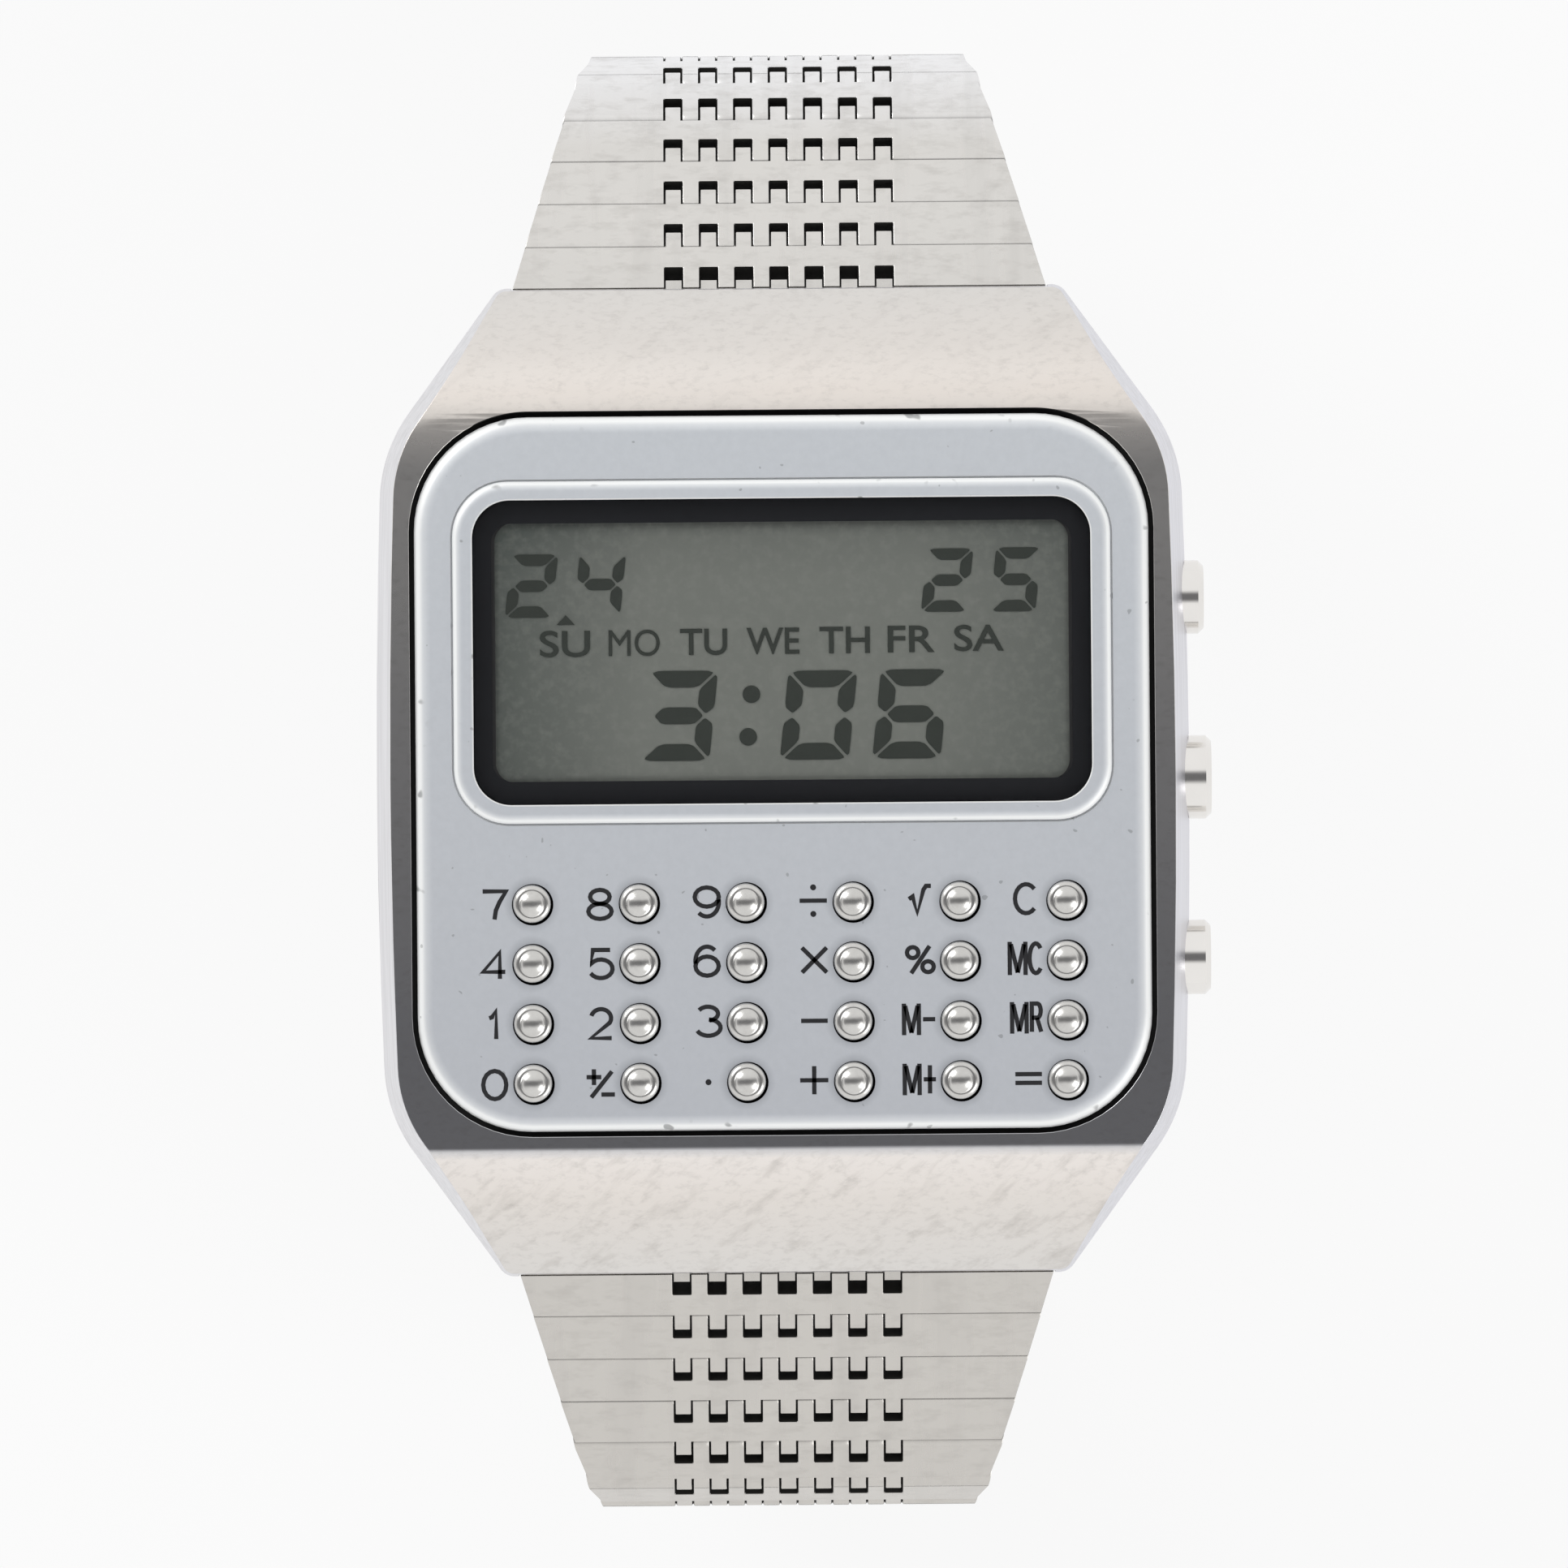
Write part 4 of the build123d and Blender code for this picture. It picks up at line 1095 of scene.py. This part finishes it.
# The four strokes of an M are separate, so that none ends in a spike
letter_m = [[(-0.5, -0.56), (-0.5, 0.56)], [(0.5, -0.56), (0.5, 0.56)],
            [(-0.42, 0.48), (0, -0.48)], [(0.42, 0.48), (0, -0.48)]]
letter_c = [bow(0, 0, 0.5, 0.5, 42, 318)]
letter_r = [[(-0.5, -0.5), (-0.5, 0.5), (0.1, 0.5)] + bow(0.1, 0.25, 0.36, 0.25, 80, -90) + [(-0.5, 0)],
            [(0.05, 0), (0.5, -0.5)]]
half_m = narrowed(letter_m, -0.5, 0.0)
minus_beside = [[(0.14, 0), (0.55, 0)]]
legend_shares = {
    "0": [bow(0, 0, 0.5, 0.5, 0, 360)],
    "1": [[(-0.5, 0.24), (-0.1, 0.28), (0.38, 0.5), (0.38, -0.5)]],
    "2": [bow(0, 0.19, 0.48, 0.31, 165, -32) + [(-0.5, -0.5), (0.5, -0.5)]],
    "3": [bow(-0.02, 0.26, 0.42, 0.24, 150, -82), bow(0, -0.22, 0.5, 0.28, 88, -158)],
    "4": [[(0.26, -0.5), (0.26, 0.5), (-0.5, -0.24), (0.5, -0.24)]],
    "5": [[(0.40, 0.5), (-0.34, 0.5), (-0.42, 0.0)] + bow(0, -0.17, 0.5, 0.33, 142, -152)],
    "6": six,
    "7": [[(-0.5, 0.5), (0.5, 0.5), (0.22, 0.12), (0.06, -0.18), (0.0, -0.5)]],
    "8": [bow(0, 0.26, 0.42, 0.24, 0, 360), bow(0, -0.24, 0.5, 0.26, 0, 360)],
    "9": [[(-x, -y) for x, y in path] for path in six],
    "divide": [flat_bar],
    "multiply": [[(-0.5, -0.5), (0.5, 0.5)], [(-0.5, 0.5), (0.5, -0.5)]],
    "minus": [flat_bar],
    "plus": [flat_bar, [(0, -0.5), (0, 0.5)]],
    "equals": [[(-0.5, -0.5), (0.5, -0.5)], [(-0.5, 0.5), (0.5, 0.5)]],
    "root": [[(-0.5, 0.02), (-0.32, 0.12), (-0.12, -0.5), (0.16, 0.36), (0.28, 0.5), (0.5, 0.5)]],
    "sign": [[(-0.5, 0.22), (0.02, 0.22)], [(-0.24, -0.06), (-0.24, 0.5)], [(-0.34, -0.5), (0.40, 0.42)],
             [(0.02, -0.40), (0.5, -0.40)]],
    "percent": [bow(-0.28, 0.26, 0.21, 0.20, 0, 360), bow(0.28, -0.26, 0.21, 0.20, 0, 360),
                [(-0.34, -0.5), (0.34, 0.5)]],
    "clear": letter_c,
    "memory_clear": half_m + narrowed(letter_c, 0.13, 0.53),
    "memory_recall": half_m + narrowed(letter_r, 0.18, 0.5),
    "memory_minus": half_m + minus_beside,
    "memory_plus": half_m + minus_beside + [[(0.35, -0.5), (0.35, 0.5)]],
    "point": [],
}
legend_dots = {"divide": ((0, 0.5), (0, -0.5)), "point": ((0, 0),)}


def brush(mesh, path, width, z, depth):
    """A stroke of one width along a path, closed where the path is."""
    closed = hypot(path[0][0] - path[-1][0], path[0][1] - path[-1][1]) < same_point
    places = [Vector(place) for place in (path[:-1] if closed else path)]
    count = len(places)
    rows = []
    for i, here in enumerate(places):
        before = here - places[i - 1] if closed or i else places[1] - here
        after = places[(i + 1) % count] - here if closed or i < count - 1 else here - places[i - 1]
        along = (before.normalized() + after.normalized()).normalized()
        mitre = 1 / max(along.dot(before.normalized()), 1 / longest_mitre)
        side = Vector((-along.y, along.x)) * mitre * width / 2
        rows.append([mesh.verts.new((corner.x, corner.y, height)) for corner, height in (
            (here + side, z + depth), (here - side, z + depth), (here - side, z), (here + side, z))])
    for i in range(count if closed else count - 1):
        row, following = rows[i], rows[(i + 1) % count]
        for k in range(4):
            mesh.faces.new((row[k], following[k], following[(k + 1) % 4], row[(k + 1) % 4]))
    if not closed:
        mesh.faces.new(rows[0])
        mesh.faces.new(list(reversed(rows[-1])))


legends = bmesh.new()
for node in key_nodes:
    word = node.removeprefix("key_")
    width, height, right, up = (size * mm for size in legend_boxes[word])
    key_x, key_y = middle_of(node)
    inner_width, inner_height = max(width - stroke, 0), max(height - stroke, 0)

    def placed(points):
        """Shares of a legend's size as places on the face."""
        return [(key_x + right + x * inner_width, key_y + up + y * inner_height) for x, y in points]

    for path in legend_shares[word]:
        brush(legends, placed(path), stroke, ink_low, ink_depth)
    for place in placed(legend_dots.get(word, ())):
        dot(legends, place, dot_radius, ink_low, ink_depth)
piece("key_legends", finished_mesh("key_legends", legends), ink, "case")

# Side buttons
# Three turned steel pushers with polished, slightly domed ends. Each slides in a bore of the case,
# pushed out by a contact spring.
dress(make_plain("pusher_steel", (0.86, 0.84, 0.81, 1), (0.74, 0.72, 0.70, 1), 0.14, 500, 1.0),
      "pusher_upper", "pusher_middle", "pusher_lower")

# Bracelet
# Folded steel links with brushed tops. Each link's near end is rolled round its pin and turns in
# the hollow end of the link before it, and its seven fingers stand in the next link's notches.
link_pitch = 2.3 * mm
link_half = 0.95 * mm
seam_set = 0.45 * mm
seam_gap = 0.06 * mm
roll_radius = 1.03 * mm
finger_pitch = 1.6 * mm
finger_width = 0.72 * mm
notch_width = 0.86 * mm
notch_depth = 1.1 * mm
finger_reach = 0.74 * mm
finger_root_depth = 0.65 * mm
finger_lift = 0.01 * mm
inner_relief = 0.225 * mm
link_widths = (24.3 * mm, 16.0 * mm)
taper_links = 7
flank_share = 0.93
link_tilts = (30, 31, 32.5, 36, 48, 72, 92, 97, 100, 103, 106, 110, 115, 121, 128, 136)
links_in_group = (5, 1, 7, 3)
first_pin = (22.38 * mm, 34.495 * mm)
finger_places = [(i - 3) * finger_pitch for i in range(7)]
link_edge = 0.05 * mm


def roll(radius, middle_y, past):
    """The arc round a pin from the outer face to an angle past the pin's own height."""
    start = atan2(link_half, -(radius ** 2 - link_half ** 2) ** 0.5)
    stop = pi + past
    return [(middle_y + radius * cos(start + (stop - start) * i / 7),
             radius * sin(start + (stop - start) * i / 7)) for i in range(8)]


def link_form(name, rolled):
    """One link lying flat, its near hinge line along X and its outer face up."""
    near, far = -seam_set, link_pitch - seam_set - seam_gap
    near_side = roll(roll_radius, 0, 0) if rolled else [(near, link_half)]
    hollow = roll(roll_radius + seam_gap, link_pitch, 0.2)
    outline = ([(near + inner_relief, -link_half)] + list(reversed(near_side)) + hollow
               + [(far - inner_relief, -link_half)])
    block = upended(outline, link_widths[0])
    behind, end = -2 * seam_set - roll_radius, near + notch_depth
    notch = [(behind, -2 * link_half), (behind, 2 * link_half), (end, 2 * link_half), (end, -2 * link_half)]
    root, tip = far - finger_root_depth, far + finger_reach
    finger = [(root, -link_half + finger_lift), (root, link_half), (tip, link_half),
              (tip - inner_relief, -link_half + finger_lift)]
    for x in finger_places:
        carved(block, upended(notch, notch_width, x))
    for x in finger_places:
        carved(block, upended(finger, finger_width, x), "UNION")
    tidied(block, near=0.001 * mm)
    data = softened(block, link_edge)
    # Painted shade: the walls of notches and fingers, in the shade of the gaps between links, are marked to
    # be painted near black
    slot_shades = data.attributes.new("slot", "FLOAT", "FACE")
    reach = finger_places[-1] + notch_width / 2 + 0.02 * mm
    steep = 0.7
    close = 0.1 * mm
    for face, mark in zip(data.polygons, slot_shades.data):
        x, y = face.center.x, face.center.y
        across = abs(face.normal.y) > steep and (abs(y - end) < close or y > far + close)
        mark.value = 1.0 if abs(x) < reach and (abs(face.normal.x) > steep or across) else 0.0
    return put(name, data)


def link_recipe():
    """Lays a link at every hinge line, turned by its tilt and narrowed to the taper."""
    chain = Recipe("laid_links", ("Near", "Half", "Turn"), ("Link",))
    size = chain.inputs

    def stored(name, kind="FLOAT"):
        """A value that each point brings along."""
        return chain.node("GeometryNodeInputNamedAttribute", {"data_type": kind}, {"Name": name})

    form = chain.node("GeometryNodeObjectInfo", sockets={"Object": size["Link"]}, output="Geometry")
    flat = chain.node("GeometryNodeStoreNamedAttribute", {"data_type": "FLOAT_VECTOR", "domain": "POINT"}, {
        "Geometry": form, "Name": "flat", "Value": chain.node("GeometryNodeInputPosition")})
    angles = chain.node("ShaderNodeCombineXYZ", sockets={"X": 0 - stored("tilt"), "Z": size["Turn"]})
    laid = chain.node("GeometryNodeInstanceOnPoints", sockets={
        "Points": size["Points"], "Instance": flat, "Rotation": angles})
    real = chain.node("GeometryNodeRealizeInstances", sockets={"Geometry": laid})
    x, y, _ = chain.axes(stored("flat", "FLOAT_VECTOR"))
    near_half = stored("near_half")
    along = (y - size["Near"]) * (1 / (link_pitch - seam_gap))
    half = near_half + (stored("far_half") - near_half) * along
    right = (x > 0) * 2 - 1
    # Only the outer flanks follow the taper, so that fingers and notches keep their width
    outer = abs(x) > size["Half"] * flank_share
    shift = (half - size["Half"]) * outer * right * maths("COSINE", size["Turn"])
    offset = chain.node("ShaderNodeCombineXYZ", sockets={"X": shift})
    chain.done(chain.node("GeometryNodeSetPosition", sockets={"Geometry": real, "Offset": offset}))
    return chain


def make_link_steel():
    """Brushed, worn steel with painted shade at 6 o'clock and beside the case, a painted highlight at the far
    end towards 12 o'clock, and painted shade in its slots.
    """
    steel = material("link_steel")
    slot = steel.node("ShaderNodeAttribute", {"attribute_name": "slot"}, output="Fac")
    grain = steel.noise(620, 4, 0.6, steel.place((1.0, 0.10, 0.10)))
    worn = steel.noise(520, 4, 0.6, steel.place((1.0, 0.3, 0.3), (0, 0, radians(30))))
    mottle = steel.noise(1700, 4, 0.65, steel.place((0.45, 1.0, 1.0)))
    cloud = steel.noise(95)
    _, y, _ = steel.spot()
    # Painted shade at 6 o'clock and, a little, beside the case at 12 o'clock, and a painted highlight at the
    # far end there
    tint = steel.mix(cloud, (0.73, 0.71, 0.68, 1), (0.70, 0.685, 0.66, 1))
    tint = steel.mix((y < 0) * 0.8, tint, (0.58, 0.555, 0.52, 1))
    tint = steel.mix(steel.between(y, 29 * mm, 33.4 * mm) * 0.8, tint, (0.93, 0.935, 0.96, 1))
    tint = steel.mix(steel.between(y, 26.5 * mm, 22.5 * mm) * (y > 0) * 0.4, tint, (0.66, 0.64, 0.61, 1))
    tint = steel.mix(steel.between(grain, 0.48, 0.75) * 0.22, tint, (0.42, 0.41, 0.39, 1))
    tint = steel.mix(steel.between(mottle, 0.48, 0.72) * 0.30, tint, (0.42, 0.40, 0.375, 1))
    tint = steel.mix(steel.between(worn, 0.60, 0.78) * 0.25, tint, (0.40, 0.38, 0.36, 1))
    # Painted shade: the marked slot walls are painted near black and not metallic
    tint = steel.mix(slot, tint, (0.015, 0.014, 0.012, 1))
    return surface(steel, Base_Color=tint, Metallic=1 - slot,
                   Roughness=0.27 + (grain - 0.5) * 0.16 + 0.4 * slot,
                   Normal=steel.bump(grain + 0.6 * worn, 0.14))


link_steel = make_link_steel()
laid_links = link_recipe()
first_form = link_form("first_link_form", False)
rolled_form = link_form("rolled_link_form", True)


def half_width(index):
    """Half the bracelet's width at the start of a link, counted from the case."""
    taper = min(index / taper_links, 1)
    return (link_widths[0] + (link_widths[1] - link_widths[0]) * taper) / 2


def hinge_lines(side):
    """Place, tilt and half widths of each link from the case outwards."""
    lines = []
    y, z = first_pin
    for index, tilt in enumerate(link_tilts):
        lines.append(((0, side * y, z), radians(tilt), half_width(index), half_width(index + 1)))
        y += link_pitch * cos(radians(tilt))
        z -= link_pitch * sin(radians(tilt))
    return lines


def laid(name, form, side, lines):
    """The given links as one mesh."""
    points = bpy.data.meshes.new(name)
    points.from_pydata([place for place, *_ in lines], [], [])
    for attribute, column in (("tilt", 1), ("near_half", 2), ("far_half", 3)):
        layer = points.attributes.new(attribute, "FLOAT", "POINT")
        for row, line in zip(layer.data, lines):
            row.value = line[column]
    return laid_links.grow(name, link_steel, points=points, Link=form, Near=-seam_set,
                           Half=link_widths[0] / 2, Turn=0.0 if side > 0 else pi)


for side, word in ((1, "upper"), (-1, "lower")):
    lines = hinge_lines(side)
    for number, count in enumerate(links_in_group, 1):
        group, lines = lines[:count], lines[count:]
        name = f"{word}_chain_{number}"
        parts = [laid(name, rolled_form, side, group if number > 1 else group[1:])]
        if number == 1:
            parts.append(laid(name, first_form, side, group[:1]))
        steel_name = name + "_steel"
        chain_piece = piece(steel_name, joined(steel_name, parts), link_steel, name)
        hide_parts(f"{word}_links_{number}")
        chain_piece.data.shade_smooth()
        chain_piece.data.set_sharp_from_angle(angle=radians(40))
        chain_piece.modifiers.new("shade", "WEIGHTED_NORMAL").keep_sharp = True
bpy.data.objects.remove(first_form)
bpy.data.objects.remove(rolled_form)
dress(link_steel, "end_links", "upper_links_5", "lower_links_5")

# Back screws
# Four slotted steel screws hold the back at its corners. Each stands a little proud of the back
# and has stopped at its own angle.
back_low, back_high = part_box("case_back")
screw_inset = 1.9 * mm
screw_radius = 0.8 * mm
screw_height = 0.14 * mm
screw_slot = 0.22 * mm
screw_edge = 0.04 * mm
screw_places = bpy.data.meshes.new("screw_places")
screw_places.from_pydata([(x, y, back_low[2])
                          for x in (back_low[0] + screw_inset, back_high[0] - screw_inset)
                          for y in (back_low[1] + screw_inset, back_high[1] - screw_inset)], [], [])


def screw_recipe():
    """A disc with a slot across it at every point, turned by chance."""
    screw = Recipe("back_screw", ("Radius", "Height", "Slot"))
    size = screw.inputs
    head = screw.node("GeometryNodeMeshCylinder", sockets={
        "Vertices": 36, "Radius": size["Radius"], "Depth": size["Height"] * 2})
    bar_size = screw.node("ShaderNodeCombineXYZ", sockets={
        "X": size["Radius"] * 3, "Y": size["Slot"], "Z": size["Height"] * 1.2})
    bar = screw.node("GeometryNodeMeshCube", sockets={"Size": bar_size})
    down = screw.node("ShaderNodeCombineXYZ", sockets={"Z": size["Height"] * -1})
    lowered = screw.node("GeometryNodeTransform", sockets={"Geometry": bar, "Translation": down})
    slotted = screw.node("GeometryNodeMeshBoolean", {"operation": "DIFFERENCE"}, {
        "Mesh 1": head, "Mesh 2": lowered})
    chance = screw.node("FunctionNodeRandomValue", {"data_type": "FLOAT"}, {"Seed": 4}, output=1)
    angle = screw.node("ShaderNodeCombineXYZ", sockets={"Z": chance * pi})
    laid_heads = screw.node("GeometryNodeInstanceOnPoints", sockets={
        "Points": size["Points"], "Instance": slotted, "Rotation": angle})
    screw.done(laid_heads)
    return screw


screw_steel = make_plain("screw_steel", (0.66, 0.66, 0.67, 1), (0.5, 0.5, 0.51, 1), 0.2, 900, 1.0)
screw_mesh = screw_recipe().grow("back_screws", screw_steel, points=screw_places,
                                 Radius=screw_radius, Height=screw_height, Slot=screw_slot)
back_screws = piece("back_screws", screw_mesh, screw_steel, "case")
edges = back_screws.modifiers.new("edges", "BEVEL")
edges.width = screw_edge
edges.segments = 2

# Clasp
# A brushed folded cover over two stamped steel blades that fold flat inside it. Plain steel pins
# join blades, cover and bracelet, and spring bars hold the bracelet to the case.
clasp_steel = make_brushed("clasp_steel", (0.76, 0.755, 0.745, 1), (0.5, 0.5, 0.49, 1), (0.03, 1, 1), 0.26)
dress(clasp_steel, "clasp_cover", "clasp_blade_first", "clasp_blade_second")
pin_steel = make_plain("pin_steel", (0.7, 0.7, 0.7, 1), (0.5, 0.5, 0.5, 1), 0.25, 700, 1.0)
dress(pin_steel, "cover_pins", "blade_pins", "lug_pins")

# Inside the case
# A moulded frame holds the circuit board, its chip and crystal and two button cells under a steel
# strap. Steel springs bear on the side buttons. Rubber seals the back, these buttons and the keys.
dress(pin_steel, "battery_strap", "contact_springs")
rubber = make_plain("black_rubber", colour(26, 26, 27), colour(38, 38, 38), 0.62, 700)
dress(rubber, "back_gasket", "keypad_membrane", "pusher_seals")
dress(make_plain("module_plastic", colour(38, 40, 44), colour(50, 52, 56), 0.5), "module_frame")
dress(make_plain("board_green", colour(34, 78, 52), colour(24, 60, 40), 0.45), "circuit_board")
dress(make_plain("chip_black", colour(20, 20, 21), colour(30, 30, 31), 0.5), "board_components")
dress(make_plain("cell_steel", (0.75, 0.75, 0.74, 1), (0.6, 0.6, 0.6, 1), 0.3, 400, 1.0), "button_cells")
